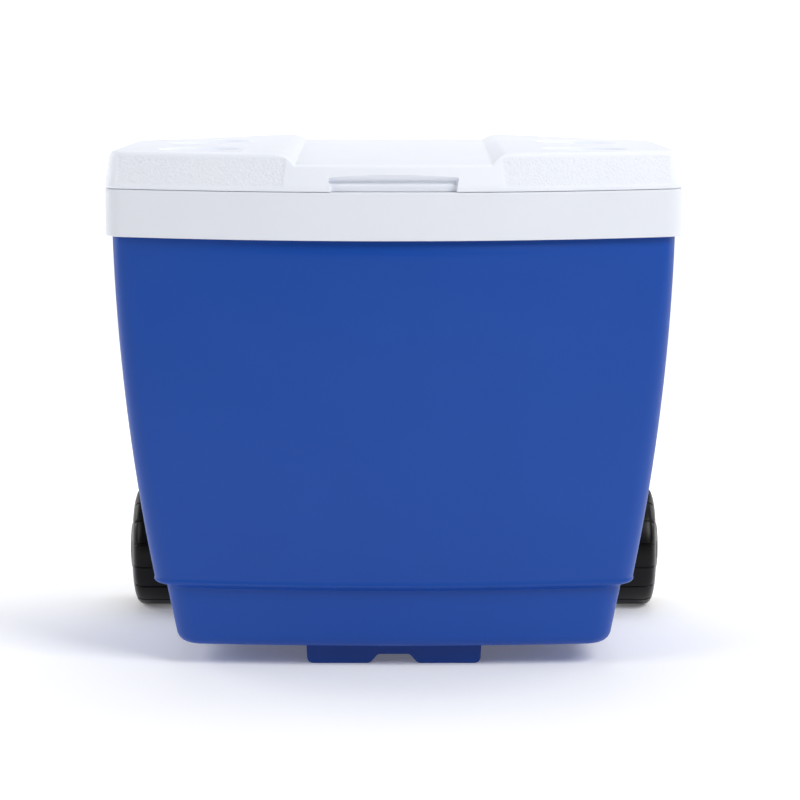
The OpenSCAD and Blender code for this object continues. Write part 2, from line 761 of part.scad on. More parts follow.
module drain_cap() {
    color(white) on_drain() difference() {
        union() {
            translate([0, 0, cap_under_z]) cylinder(r = drain_pipe_r + 2, h = cap_t, $fn = 64);
            translate([0, 0, drain_out - 2]) cylinder(r = drain_bore_r - 0.9, h = cap_t, $fn = 48);
            translate([-cap_arm, -cap_pin_up, cap_under_z]) cube([2 * cap_arm, cap_pin_up, cap_t]);
            across_cap_pin(cap_arm, cap_eye_r);
            translate([-cap_arm, -cap_pin_up - cap_eye_r, cap_pin_z])
                cube([2 * cap_arm, 2 * cap_eye_r, cap_under_z + cap_t - cap_pin_z]);
        }
        across_cap_pin(20, cap_pin_r + run);
    }
}

body_shell();
foam_floor();
insulation_foam();
liner();
rim_collar();
front_foot();
foot_screws();
mirror([1, 0, 0]) axle_boss();  // axle_boss_left
axle_boss();  // axle_boss_right
mirror([1, 0, 0]) axle();  // axle_left
axle();  // axle_right
mirror([1, 0, 0]) axle_cap();  // axle_cap_left
axle_cap();  // axle_cap_right
wheel_washers();
mirror([1, 0, 0]) handle_tube();  // handle_tube_left
handle_tube();  // handle_tube_right
handle_upper_guide();
handle_lower_bracket();
handle_bracket_screws();
mirror([1, 0, 0]) hinge_base();  // hinge_base_left
hinge_base();  // hinge_base_right
mirror([1, 0, 0]) hinge_pin();  // hinge_pin_left
hinge_pin();  // hinge_pin_right
hinge_screws(base_screw_z);  // hinge_base_screws
drain_spout();
drain_nut();
drain_gasket();
drain_cap_pin();
drain_cap();
lid_shell();
lid_foam();
lid_pan();
mirror([1, 0, 0]) hinge_leaf();  // hinge_leaf_left
hinge_leaf();  // hinge_leaf_right
hinge_screws(leaf_screw_z);  // hinge_leaf_screws
mirror([1, 0, 0]) handle_mid();  // handle_mid_left
handle_mid();  // handle_mid_right
mirror([1, 0, 0]) handle_mid_bush();  // handle_mid_bush_left
handle_mid_bush();  // handle_mid_bush_right
mirror([1, 0, 0]) handle_rod();  // handle_rod_left
handle_rod();  // handle_rod_right
handle_grip();
mirror([1, 0, 0]) wheel();  // wheel_left
wheel();  // wheel_right
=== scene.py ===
"""Looks of the cooler on wheels: moulded skins, finishes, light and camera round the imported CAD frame."""

import logging
import math
from dataclasses import dataclass, field, replace
from enum import Enum
from typing import Iterable, Sequence

import bmesh
import bpy
import numpy as np
from mathutils import Matrix, Vector


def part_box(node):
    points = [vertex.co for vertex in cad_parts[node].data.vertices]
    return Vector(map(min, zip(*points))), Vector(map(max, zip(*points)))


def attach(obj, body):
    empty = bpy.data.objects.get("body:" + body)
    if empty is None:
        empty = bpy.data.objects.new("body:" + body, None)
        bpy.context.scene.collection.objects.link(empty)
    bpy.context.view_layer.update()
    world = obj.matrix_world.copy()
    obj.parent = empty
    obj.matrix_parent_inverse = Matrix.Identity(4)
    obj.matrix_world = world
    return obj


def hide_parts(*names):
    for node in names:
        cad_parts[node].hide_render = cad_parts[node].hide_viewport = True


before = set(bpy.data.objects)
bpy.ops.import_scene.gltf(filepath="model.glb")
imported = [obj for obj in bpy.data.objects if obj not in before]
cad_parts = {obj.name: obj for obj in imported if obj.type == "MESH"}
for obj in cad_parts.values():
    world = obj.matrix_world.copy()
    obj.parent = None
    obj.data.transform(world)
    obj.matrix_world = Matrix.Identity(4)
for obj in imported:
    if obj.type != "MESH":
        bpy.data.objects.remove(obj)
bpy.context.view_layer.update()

LOG = logging.getLogger("cooler")
M = 0.001  # metres in a millimetre
PEBBLE_MASK = "pebble"  # mesh attribute: 1 where the lid is pebbled
ON_AXIS = 0.01  # radius in millimetres at which a round cutter closes, so that it has no zero-size faces


class Side(Enum):
    """The two mirrored sides of the cooler."""

    LEFT = -1
    RIGHT = 1


class Slot(Enum):
    """Material slots of the record."""

    BODY = "body_blue"
    FOOT = "foot_blue"
    LID = "lid_white"
    LINER = "liner_white"
    FOAM = "foam"
    WHEEL = "wheel_black"
    FITTING = "fitting_black"
    GRIP = "grip_black"
    TUBE = "tube_aluminium"
    STEEL = "steel"
    SEAL = "seal_rubber"


# ---- Materials ----


def linear(hex_colour: str) -> tuple[float, float, float, float]:
    """Turn an sRGB hex colour such as "#2746a0" into linear RGBA."""
    channels = (int(hex_colour[i : i + 2], 16) / 255 for i in (1, 3, 5))
    return (*(c / 12.92 if c <= 0.04045 else ((c + 0.055) / 1.055) ** 2.4 for c in channels), 1.0)


class Shader:
    """A node material under construction."""

    def __init__(self, name: str) -> None:
        """Start an empty node tree called name, with object coordinates in metres."""
        self.material = bpy.data.materials.new(name)
        self.material.use_nodes = True
        self.tree = self.material.node_tree
        self.tree.nodes.clear()
        self.place = self.add("ShaderNodeTexCoord").outputs["Object"]

    def add(self, kind: str, inputs: dict | None = None, **settings: object) -> bpy.types.Node:
        """Add a node with its settings, and give each input a value or a link.

        Args:
            kind: Blender's node type.
            inputs: value or output socket for each input, by name or number.
            settings: attributes of the node.

        Returns:
            The new node.
        """
        node = self.tree.nodes.new(kind)
        for key, value in settings.items():
            setattr(node, key, value)
        for key, value in (inputs or {}).items():
            if isinstance(value, bpy.types.NodeSocket):
                self.tree.links.new(value, node.inputs[key])
            else:
                node.inputs[key].default_value = value
        return node

    def noise(self, place: bpy.types.NodeSocket, size_mm: float, detail: float) -> bpy.types.NodeSocket:
        """Noise of 0 to 1 with features of a size in millimetres."""
        return self.add("ShaderNodeTexNoise", {"Vector": place, "Scale": 1 / (size_mm * M),
                                               "Detail": detail}).outputs["Fac"]

    def blend(self, share: bpy.types.NodeSocket, colour: str, shade: str) -> bpy.types.NodeSocket:
        """Mix two hex colours, from the first at share 0 to the second at 1."""
        return self.add("ShaderNodeMix", {0: share, 6: linear(colour), 7: linear(shade)},
                        data_type="RGBA").outputs[2]

    def spread(self, value: bpy.types.NodeSocket, middle: float, reach: float) -> bpy.types.NodeSocket:
        """Map a pattern of 0 to 1 to middle less and plus reach."""
        return self.add("ShaderNodeMapRange", {"Value": value, "To Min": middle - reach,
                                               "To Max": middle + reach}).outputs[0]

    def relief(self, height: bpy.types.NodeSocket, depth_mm: float, strength: float,
               under: bpy.types.NodeSocket | None = None) -> bpy.types.NodeSocket:
        """Bump from a pattern, on top of another bump if there is one.

        Args:
            height: the pattern.
            depth_mm: its depth in millimetres; below 0 turns it over.
            strength: share of the effect.
            under: normal of the bump below it.

        Returns:
            The normal.
        """
        inputs = {"Height": height, "Strength": strength, "Distance": depth_mm * M}
        if under is not None:
            inputs["Normal"] = under
        return self.add("ShaderNodeBump", inputs).outputs[0]

    def finish(self, **sockets: object) -> bpy.types.Material:
        """Add the principled shader with these sockets and return the material."""
        names = {key.replace("_", " ").title().replace("Ior", "IOR"): v for key, v in sockets.items()}
        surface = self.add("ShaderNodeBsdfPrincipled", names)
        self.add("ShaderNodeOutputMaterial", {"Surface": surface.outputs[0]})
        return self.material


@dataclass(frozen=True)
class MouldedPlastic:
    """Injection- or blow-moulded plastic: a soft sheen over a fine grain, with faint sink marks."""

    name: str
    colour: str
    shade: str  # the colour in the faint sink marks
    roughness: float
    ior: float
    grain_mm: float  # size of the tool's grain
    grain_depth_mm: float
    sheen_mm: float = 70.0  # spacing of the slow waves in the surface
    wave_depth_mm: float = 0.12
    pebble_mm: float = 0.0  # size of the pebbles where the mesh asks for them
    pebble_depth_mm: float = 0.0
    pebble_valley_shade: float = 0.95  # painted shade: brightness of the colour between the pebbles

    def build(self) -> bpy.types.Material:
        """Build the material."""
        s = Shader(self.name)
        wave, grain = s.noise(s.place, self.sheen_mm, 2.0), s.noise(s.place, self.grain_mm, 3.0)
        base = s.blend(wave, self.colour, self.shade)
        rough = s.spread(grain, self.roughness, 0.05)
        normal = s.relief(grain, self.grain_depth_mm, 0.8, s.relief(wave, self.wave_depth_mm, 0.6))
        if self.pebble_mm:
            base, normal = self.pebbles(s, base, normal)
        return s.finish(base_color=base, roughness=rough, ior=self.ior, normal=normal)

    def pebbles(self, s: Shader, base: bpy.types.NodeSocket,
                normal: bpy.types.NodeSocket) -> tuple[bpy.types.NodeSocket, bpy.types.NodeSocket]:
        """Raise pebbles where the mesh's mask asks for them, with painted shade darkening the valleys between them.

        Args:
            s: the material.
            base: its colour.
            normal: its normal.

        Returns:
            The new colour and normal.
        """
        cells = s.add("ShaderNodeTexVoronoi", {"Vector": s.place, "Scale": 1 / (self.pebble_mm * M),
                                               "Smoothness": 0.6}, feature="SMOOTH_F1")
        where = s.add("ShaderNodeAttribute", attribute_name=PEBBLE_MASK)
        height = s.add("ShaderNodeMath", {0: cells.outputs["Distance"], 1: where.outputs["Fac"]},
                       operation="MULTIPLY").outputs[0]
        # Painted shade: the colour is darkened in the valleys between the pebbles.
        valley = s.add("ShaderNodeMapRange", {"Value": height, "From Max": 0.9,
                                              "To Min": 1.0, "To Max": self.pebble_valley_shade})
        darker = s.add("ShaderNodeVectorMath", {0: base, "Scale": valley.outputs[0]}, operation="SCALE")
        return darker.outputs[0], s.relief(height, -self.pebble_depth_mm, 1.0, normal)


@dataclass(frozen=True)
class DrawnMetal:
    """Drawn or rolled metal: lengthwise drawing lines that stretch its reflections."""

    name: str
    colour: str
    shade: str
    roughness: float
    line_mm: float  # spacing of the drawing lines
    line_stretch: tuple[float, float, float]  # how much finer the lines are across each axis
    line_depth_mm: float

    def build(self) -> bpy.types.Material:
        """Build the material."""
        s = Shader(self.name)
        stretched = s.add("ShaderNodeMapping", {"Vector": s.place, "Scale": self.line_stretch})
        pattern = s.noise(stretched.outputs[0], self.line_mm, 4.0)
        return s.finish(base_color=s.blend(pattern, self.colour, self.shade),
                        roughness=s.spread(pattern, self.roughness, 0.07), metallic=1.0,
                        normal=s.relief(pattern, self.line_depth_mm, 0.5))


@dataclass(frozen=True)
class RigidFoam:
    """Foamed-in-place polyurethane: a pale, dry cut face full of small cells."""

    name: str
    colour: str
    shade: str
    cell_mm: float
    cell_depth_mm: float

    def build(self) -> bpy.types.Material:
        """Build the material."""
        s = Shader(self.name)
        cells = s.add("ShaderNodeTexVoronoi", {"Vector": s.place, "Scale": 1 / (self.cell_mm * M)})
        pattern = cells.outputs["Distance"]
        # Painted shade: the cells' hollows take the darker shade colour.
        return s.finish(base_color=s.blend(pattern, self.shade, self.colour), roughness=0.9, ior=1.45,
                        normal=s.relief(pattern, self.cell_depth_mm, 0.8))


FINISHES = {
    # Blow-moulded HDPE: deep blue with a satin skin, so wide soft highlights along the round corners.
    Slot.BODY: MouldedPlastic("moulded_hdpe_blue", "#0b449d", "#0d47a2", 0.42, 1.38, 1.4, 0.035),
    # Moulded polypropylene in the body's blue, a little glossier, set darker than the body as painted shade for its
    # place under the body.
    Slot.FOOT: MouldedPlastic("moulded_polypropylene_blue_painted_shade", "#043a8c", "#053c90", 0.4, 1.38, 1.2, 0.03),
    # White HDPE: matt and milky. Its panels' 1.6 mm pebbles are drawn 2.2 mm wide so that they show.
    Slot.LID: MouldedPlastic("moulded_hdpe_white", "#eceff8", "#f0f3fa", 0.5, 1.42, 1.4, 0.03,
                             pebble_mm=2.2, pebble_depth_mm=0.75),
    # Smooth polypropylene: a wipe-clean surface with a clear but soft reflection.
    Slot.LINER: MouldedPlastic("moulded_polypropylene_white", "#eceef2", "#f0f1f5", 0.3, 1.49, 2.0, 0.015),
    Slot.FOAM: RigidFoam("foamed_polyurethane", "#efe3b6", "#d8c890", 1.5, 0.3),
    # Blow-moulded black HDPE: satin, grey where it catches a light.
    Slot.WHEEL: MouldedPlastic("moulded_hdpe_black", "#060606", "#0a0909", 0.34, 1.3, 1.2, 0.05),
    # Glass-filled nylon: dry black with a coarse grain.
    Slot.FITTING: MouldedPlastic("moulded_nylon_black", "#141415", "#1a1a1b", 0.5, 1.53, 0.9, 0.05),
    # Soft overmoulded rubber: matt black without clear reflections.
    Slot.GRIP: MouldedPlastic("overmoulded_rubber", "#131313", "#181817", 0.72, 1.52, 0.8, 0.06),
    # Satin anodised aluminium: pale grey with long drawing lines along the tube.
    Slot.TUBE: DrawnMetal("anodised_aluminium", "#c4c6ca", "#b4b6bb", 0.32, 1.2, (1.0, 1.0, 0.02), 0.02),
    # Zinc-plated steel: brighter, with fine turning marks.
    Slot.STEEL: DrawnMetal("zinc_plated_steel", "#b9bbbd", "#a3a6aa", 0.28, 0.9, (0.3, 1.0, 1.0), 0.015),
    # Sponge rubber of the drain's gasket.
    Slot.SEAL: MouldedPlastic("sponge_rubber", "#161616", "#1b1b1b", 0.85, 1.5, 0.7, 0.08),
}
# The collar is the lid's white HDPE, painted a shade greyer than the lid as painted shade for its upright faces,
# which catch less of the light from above; it is also more matt.
COLLAR_FINISH = MouldedPlastic("moulded_hdpe_white_painted_shade", "#e3e6ed", "#e7eaf1", 0.55, 1.42, 1.8, 0.03)
Finish = MouldedPlastic | DrawnMetal | RigidFoam


class Paint:
    """Builds each finish once and gives it to pieces."""

    made: dict[Finish, bpy.types.Material] = {}

    @classmethod
    def dress(cls, piece: bpy.types.Object, finish: Finish) -> None:
        """Give a piece a finish."""
        if finish not in cls.made:
            cls.made[finish] = finish.build()
        piece.data.materials.clear()
        piece.data.materials.append(cls.made[finish])


# ---- Mesh building ----


def box_mm(node: str) -> tuple[Vector, Vector]:
    """Lowest and highest corner of a CAD node, in millimetres."""
    low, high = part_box(node)
    return low / M, high / M


def mix(a: float, b: float, t: float) -> float:
    """Value at share t of the way from a to b; works on arrays too."""
    return a + (b - a) * t


def ease(t: np.ndarray | float) -> np.ndarray | float:
    """Smooth step from 0 to 1, for t clipped to that range."""
    t = np.clip(t, 0, 1)
    return t * t * (3 - 2 * t)


@dataclass(frozen=True)
class Ring:
    """Sizes of one plan outline: bowed front, straight sides, flat rear, round corners."""

    half: float
    front: float
    rear: float
    bow: float
    corner: float
    z: float

    def toward(self, other: "Ring", t: float) -> "Ring":
        """The ring at share t of the way to another."""
        return Ring(*(mix(a, b, t) for a, b in zip(self.values(), other.values())))

    def values(self) -> tuple[float, ...]:
        """All six sizes."""
        return self.half, self.front, self.rear, self.bow, self.corner, self.z

    def inset(self, side: float, front: float, rear: float, z: float) -> "Ring":
        """This ring moved in by those amounts, at height z."""
        return Ring(self.half - side, self.front + front, self.rear - rear, self.bow,
                    max(self.corner - side, 8.0), z)


def rounded(path: Sequence[Ring], reach: Sequence[float], steps: int = 4) -> list[Ring]:
    """Round the corners of a profile of rings.

    Args:
        path: rings at the profile's corners.
        reach: how far each round goes from its corner, in millimetres; 0 keeps the corner.
        steps: spans in one round.

    Returns:
        The rings of the rounded profile.
    """
    rings: list[Ring] = []
    for i, (ring, r) in enumerate(zip(path, reach)):
        if r == 0 or i in (0, len(path) - 1):
            rings.append(ring)
            continue
        ends = []
        for other in (path[i - 1], path[i + 1]):
            span = math.hypot(ring.half - other.half, ring.z - other.z)
            ends.append(ring.toward(other, min(r / max(span, 1e-6), 0.48)))
        for k in range(steps + 1):
            t = k / steps
            rings.append(ends[0].toward(ring, t).toward(ring.toward(ends[1], t), t))
    return rings


Sizes = float | np.ndarray


class Plan:
    """Where each vertex of a ring stands on its outline. Rings of one plan line up vertex by vertex."""

    def __init__(self, front: Sequence[float], arc: int = 12, side: int = 30) -> None:
        """Lay out a ring.

        Args:
            front: places along the front, from -1 at its left end to 1 at its right.
            arc: spans in a corner.
            side: spans in a side.
        """
        self.front = list(front)
        self.arc, self.side = arc, side
        right = [(1, 1, self.run(arc)), (2, 1, self.run(side)), (3, 1, self.run(arc))]
        left = [(3, -1, self.run(arc, True)), (2, -1, self.run(side, True)), (1, -1, self.run(arc, True))]
        spans = [(0, 1, self.front[:-1]), *right, (4, 1, self.front[:0:-1]), *left]
        rows = [(part, sign, share) for part, sign, shares in spans for share in shares]
        self.part, self.sign, self.share = (np.array(column, float) for column in zip(*rows))

    @staticmethod
    def run(count: int, back: bool = False) -> list[float]:
        """Shares 0, 1/count, ... without the last, or the same from 1 down."""
        return [1 - i / count if back else i / count for i in range(count)]

    def points(self, half: Sizes, front: Sizes, rear: Sizes, bow: Sizes, corner: Sizes,
               z: Sizes) -> np.ndarray:
        """Vertices of a ring; each size is one number or one number a vertex.

        Args:
            half: half its width.
            front: where the front stands at its middle.
            rear: where the rear stands.
            bow: how fast the front falls back to its ends.
            corner: radius of the corners.
            z: height.

        Returns:
            The vertices in millimetres, one a row.
        """
        half, front, rear, bow, r, z = (np.broadcast_to(np.asarray(v, float), self.part.shape)
                                        for v in (half, front, rear, bow, corner, z))
        slope = np.arctan(2 * bow * (half - r))
        centre_x = half - r
        touch = centre_x + r * np.sin(slope)
        centre_y = front + bow * touch**2 + r * np.cos(slope)
        front_x = touch * self.share
        turn = mix(slope - math.pi / 2, 0.0, self.share)
        back = self.share * math.pi / 2
        parts = [self.part == k for k in range(5)]
        x = np.select(parts, [front_x, self.sign * (centre_x + r * np.cos(turn)), self.sign * half,
                              self.sign * (centre_x + r * np.cos(back)), centre_x * self.share])
        y = np.select(parts, [front + bow * front_x**2, centre_y + r * np.sin(turn),
                              mix(centre_y, rear - r, self.share), rear - r + r * np.sin(back), rear])
        return np.stack([x, y, z], axis=-1)

    def ring(self, ring: Ring) -> np.ndarray:
        """Vertices of a ring of one height."""
        return self.points(*ring.values())

    def edges(self) -> tuple[np.ndarray, np.ndarray, np.ndarray, np.ndarray]:
        """Vertex numbers of the front, right, rear and left edge, which meet halfway round the corners."""
        n, half_arc = len(self.part), self.arc // 2
        across, along = len(self.front) - 1, self.side
        start = -half_arc
        lengths = (across + 2 * half_arc, along + 2 * half_arc)
        corners = np.cumsum([start, lengths[0], lengths[1], lengths[0], lengths[1]])
        front, right, rear, left = (np.arange(a, b + 1) % n for a, b in zip(corners, corners[1:]))
        return front, right, rear[::-1], left[::-1]


def piece_from(name: str, rows: np.ndarray, faces: Iterable[Sequence[int]],
               sharp: float) -> bpy.types.Object:
    """Make an object from vertices in millimetres and faces.

    Args:
        name: the piece's name.
        rows: vertices, one a row.
        faces: vertex numbers of each face.
        sharp: angle in degrees above which an edge stays crisp.

    Returns:
        The linked object, shaded smooth.
    """
    mesh = bpy.data.meshes.new(name)
    mesh.from_pydata((rows * M).tolist(), [], [tuple(f) for f in faces])
    work = bmesh.new()
    work.from_mesh(mesh)
    bmesh.ops.remove_doubles(work, verts=work.verts, dist=1e-6)
    bmesh.ops.recalc_face_normals(work, faces=work.faces)
    work.to_mesh(mesh)
    work.free()
    mesh.shade_smooth()
    mesh.set_sharp_from_angle(angle=math.radians(sharp))
    piece = bpy.data.objects.new(name, mesh)
    bpy.context.scene.collection.objects.link(piece)
    return piece


def loft(name: str, rings: Sequence[np.ndarray], closed: bool = False,
         sharp: float = 35.0) -> bpy.types.Object:
    """Skin a row of rings of equal length.

    Args:
        name: the piece's name.
        rings: vertices of each ring, in millimetres.
        closed: True joins the last ring to the first; otherwise both ends are capped.
        sharp: angle above which an edge stays crisp.

    Returns:
        The object.
    """
    n, m = len(rings[0]), len(rings)
    faces = []
    for j in range(m if closed else m - 1):
        low, high = j * n, (j + 1) % m * n
        faces += [(low + i, low + (i + 1) % n, high + (i + 1) % n, high + i) for i in range(n)]
    if not closed:
        faces += [range(n - 1, -1, -1), range((m - 1) * n, m * n)]
    return piece_from(name, np.concatenate(rings), faces, sharp)


def lathe(name: str, profile: Sequence[tuple[float, float]], spokes: int) -> bpy.types.Object:
    """Turn a closed profile of (radius, height) round Z.

    Args:
        name: the piece's name.
        profile: corners of the section, in millimetres.
        spokes: spans in a turn.

    Returns:
        The object, at the origin.
    """
    angles = np.arange(spokes) * 2 * math.pi / spokes
    rings = [np.stack([radius * np.cos(angles), radius * np.sin(angles), np.full(spokes, height)], axis=-1)
             for radius, height in profile]
    return loft(name, rings, closed=True)


def soften(points: Sequence[tuple[float, float]], radii: Sequence[float],
           steps: int = 3) -> list[tuple[float, float]]:
    """Round the corners of a closed section.

    Args:
        points: its corners.
        radii: how far each round reaches from its corner; 0 keeps the corner.
        steps: spans in one round.

    Returns:
        The corners of the rounded section.
    """
    out = []
    for i, (p, r) in enumerate(zip(points, radii)):
        if r == 0:
            out.append(p)
            continue
        p = np.array(p, float)
        ends = []
        for q in (points[i - 1], points[(i + 1) % len(points)]):
            q = np.array(q, float)
            length = np.linalg.norm(q - p)
            ends.append(p + (q - p) * min(r / length, 0.48))
        for k in range(steps + 1):
            t = k / steps
            out.append(tuple((1 - t) ** 2 * ends[0] + 2 * t * (1 - t) * p + t * t * ends[1]))
    return out


def plug_section(radius: float, low: float, high: float) -> list[tuple[float, float]]:
    """Section of a round cutter from low to high, closed just off its axis."""
    return [(ON_AXIS, low), (radius, low), (radius, high), (ON_AXIS, high)]


def carve(piece: bpy.types.Object, cutter: bpy.types.Object) -> None:
    """Cut one closed mesh out of another and drop the cutter."""
    modifier = piece.modifiers.new("cut", "BOOLEAN")
    modifier.operation, modifier.object, modifier.solver = "DIFFERENCE", cutter, "EXACT"
    settle(piece)
    bpy.data.objects.remove(cutter)


def settle(piece: bpy.types.Object) -> None:
    """Apply a piece's modifiers."""
    graph = bpy.context.evaluated_depsgraph_get()
    mesh = bpy.data.meshes.new_from_object(piece.evaluated_get(graph))
    piece.modifiers.clear()
    old, piece.data = piece.data, mesh
    mesh.name = piece.name
    bpy.data.meshes.remove(old)


def crisp(piece: bpy.types.Object, angle: float = 30.0) -> None:
    """Shade smooth with crisp edges above an angle, and let big faces rule the shading."""
    piece.data.shade_smooth()
    piece.data.set_sharp_from_angle(angle=math.radians(angle))
    weighted = piece.modifiers.new("weighted", "WEIGHTED_NORMAL")
    weighted.keep_sharp = True
    weighted.weight = 80


def moved(piece: bpy.types.Object, matrix: Matrix) -> bpy.types.Object:
    """Move a mesh's vertices; the matrix's shift is in metres. Returns the piece."""
    piece.data.transform(matrix)
    if matrix.determinant() < 0:
        piece.data.flip_normals()
    return piece


def enlist(piece: bpy.types.Object, body: str, slot: Slot, *nodes: str,
           finish: Finish | None = None) -> bpy.types.Object:
    """Dress a piece, let it ride on a body and stand for its CAD nodes.

    Args:
        piece: the piece, in place.
        body: the CAD body that carries it.
        slot: the material slot it is finished in.
        nodes: the CAD nodes it stands for.
        finish: a finish of its own; otherwise the slot's.

    Returns:
        The piece.
    """
    Paint.dress(piece, finish or FINISHES[slot])
    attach(piece, body)
    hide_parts(*nodes)
    LOG.info("%s: %d faces on %s, for %s", piece.name, len(piece.data.polygons), body, ", ".join(nodes))
    return piece


def on_axle(piece: bpy.types.Object, axle: Vector, side: Side, turn: Matrix) -> bpy.types.Object:
    """Set a piece made for the right side on its axle, mirrored for the left.

    Args:
        piece: the piece, round the origin.
        axle: a point on the axle, in millimetres.
        side: the side it goes to.
        turn: turn that lays it along X.

    Returns:
        The piece.
    """
    moved(piece, Matrix.Translation(Vector((0, axle.y, axle.z)) * M) @ turn)
    return moved(piece, Matrix.Scale(-1, 4, (1, 0, 0))) if side is Side.LEFT else piece


PLAN = Plan(np.linspace(-1, 1, 65))
AS_MADE = Matrix.Identity(4)
Z_TO_X = Matrix.Rotation(math.pi / 2, 4, "Y")


# ---- Body ----


@dataclass
class Body:
    """The blue outer shell with its step, wheel arches and hand holds."""

    corner: float = 25.0
    wall: float = 3.0
    step_z: float = 82.0
    step_drop: float = 4.0
    step_bead: float = 1.2  # the rolled edge over the step
    side_draw: float = 37.4
    front_draw: float = 30.0
    rear_draw: float = 24.0
    collar_gap: float = 2.0  # the walls' curves start this far under the collar's lower edge
    front_tuck: float = 8.0  # the front under the collar, behind the collar's front
    rear_tuck: float = 8.0
    base_top_half: float = 221.4
    base_low_half: float = 210.0
    base_tuck: tuple[float, float] = (52.0, 45.0)  # the base's front at its bottom and top
    base_rear_draw: float = 7.0
    base_round: float = 10.0
    straight: float = 0.29  # share of the walls' draw that is straight; the rest curves
    bows: tuple[float, float, float] = (2.8e-4, 3.95e-4, 6.6e-4)  # at the base, the step and the collar
    arc_radius: float = 298.0  # the shallow curved crease across the front
    arc_low: float = 269.0
    arc_slope: float = 0.024  # how much the front swells for each millimetre inside the arc
    arc_fade: float = 14.0  # the swell ends over this height, at the collar
    swell_back: float = 75.0  # how far behind the front the swell ends, and over what depth
    swell_fade: float = 20.0
    well_gap: float = 5.5
    well_depth: float = 75.0
    well_round: float = 3.0
    boss_r: float = 9.8
    boss_way: tuple[float, float] = (150.0, 260.0)  # start and end of the axle boss's hole
    scoop_half: float = 60.0
    scoop_in: float = 250.0
    scoop_low: float = 368.0
    scoop_rise: float = 14.0  # the ledge is this much higher at its back, and lower outside
    scoop_fall: float = 8.0
    scoop_reach: float = 30.0
    scoop_round: float = 8.0
    levels: int = 84

    def __post_init__(self) -> None:
        """Take the places that the CAD boxes give."""
        collar_low, collar_high = box_mm("rim_collar")
        shell_low, shell_high = box_mm("body_shell")
        self.front, self.rear = collar_low.y, collar_high.y
        self.top_half = shell_high.x
        self.base_z, self.top_z = shell_low.z, shell_high.z
        self.rim_z = collar_low.z
        wheel_low, wheel_high = box_mm("wheel_right")
        self.axle = (wheel_low + wheel_high) / 2
        self.wheel_r = wheel_high.z - self.axle.z
        self.well_in = wheel_low.x - 5

    def level(self, z: float) -> Ring:
        """The outer outline at height z."""
        top = self.rim_z - self.collar_gap
        back = self.rear - self.rear_tuck
        if z >= self.step_z:
            t = (top - z) / (top - self.step_z)
            fall = max(self.straight * t + (1 - self.straight) * t * t, 0)
            lift = (z - self.step_z) / (self.rim_z - self.step_z)
            front = self.front + self.front_tuck + self.front_draw * fall
            return Ring(self.top_half - self.side_draw * fall, front, back - self.rear_draw * t,
                        mix(self.bows[1], self.bows[2], lift), self.corner, z)
        t = (z - self.base_z) / (self.step_z - self.step_drop - self.base_z)
        foot_rear = back - self.rear_draw
        return Ring(mix(self.base_low_half, self.base_top_half, t), self.front + mix(*self.base_tuck, t),
                    mix(foot_rear - self.base_rear_draw, foot_rear, t),
                    mix(self.bows[0], self.bows[1], t), self.corner, z)

    def profile(self, wall: float) -> list[Ring]:
        """Rings from the underside to the top, moved in by wall."""
        low = self.step_z - self.step_drop
        rings = []
        for k in range(9):
            turn = math.pi / 2 * k / 8
            inset = self.base_round * (1 - math.sin(turn)) + wall
            z = self.base_z + self.base_round * (1 - math.cos(turn))
            rings.append(self.level(z).inset(inset, inset, inset, z + wall * math.cos(turn) * 0.9))
        rings += [self.level(z).inset(wall, wall, wall, z) for z in np.linspace(36, low - 6, 12)]
        step = [self.level(low - 5), self.level(low), self.level(self.step_z), self.level(self.step_z + 5)]
        if wall == 0:
            bead = step[2].toward(step[3], 0.45)
            step.insert(3, replace(bead, half=bead.half + self.step_bead, front=bead.front - self.step_bead,
                                   rear=bead.rear + self.step_bead))
            rings += rounded(step, [0, 1.2, 1.2, 1.6, 0], 5)
        else:
            rings += [r.inset(wall, wall, wall, r.z + 0.8 * wall) for r in step[:3]]
        rings += [self.level(z).inset(wall, wall, wall, z)
                  for z in np.linspace(self.step_z + 7, self.rim_z - self.collar_gap, self.levels)]
        last = rings[-1]
        return rings + [last.inset(0, 0, 0, self.top_z + (4 if wall else 0))]

    def crease(self, rings: np.ndarray) -> np.ndarray:
        """Swell the front evenly inside a shallow arc, and bring it back to the wall under the collar."""
        x, y, z = rings[..., 0], rings[..., 1], rings[..., 2]
        inside = self.arc_radius - np.hypot(x, z - self.arc_low - self.arc_radius)
        fade = 1 - ease((z - self.rim_z + self.arc_fade) / self.arc_fade)
        on_front = ease((-(y - self.front) + self.swell_back) / self.swell_fade)
        rings[..., 1] = y - self.arc_slope * np.maximum(inside, 0) * fade * on_front
        return rings

    def wells(self, grow: float) -> list[bpy.types.Object]:
        """Cutters for both wheel arches, grown by that much."""
        cutters = []
        for side in Side:
            radius = self.wheel_r + self.well_gap + grow
            start = self.well_in - grow
            profile = soften(plug_section(radius, start, start + self.well_depth), [0, self.well_round, 0, 0])
            cutters.append(on_axle(lathe(f"well{side.value}", profile, 96), self.axle, side, Z_TO_X))
        return cutters

    def scoops(self, grow: float) -> list[bpy.types.Object]:
        """Cutters for both hand holds under the collar."""
        centre = (self.front + self.rear) / 2
        inner, outer, top = self.scoop_in - grow, self.scoop_in + self.scoop_reach, self.rim_z + 20 + grow
        section = soften([(inner, self.scoop_low + self.scoop_rise - grow),
                          (outer, self.scoop_low - self.scoop_fall - grow), (outer, top), (inner, top)],
                         [self.scoop_round, 0, 0, 0], 5)
        cutters = []
        for side in Side:
            rings = [np.array([(side.value * x, y, z) for x, z in section])
                     for y in (centre - self.scoop_half - grow, centre + self.scoop_half + grow)]
            cutters.append(loft(f"scoop{side.value}", rings))
        return cutters

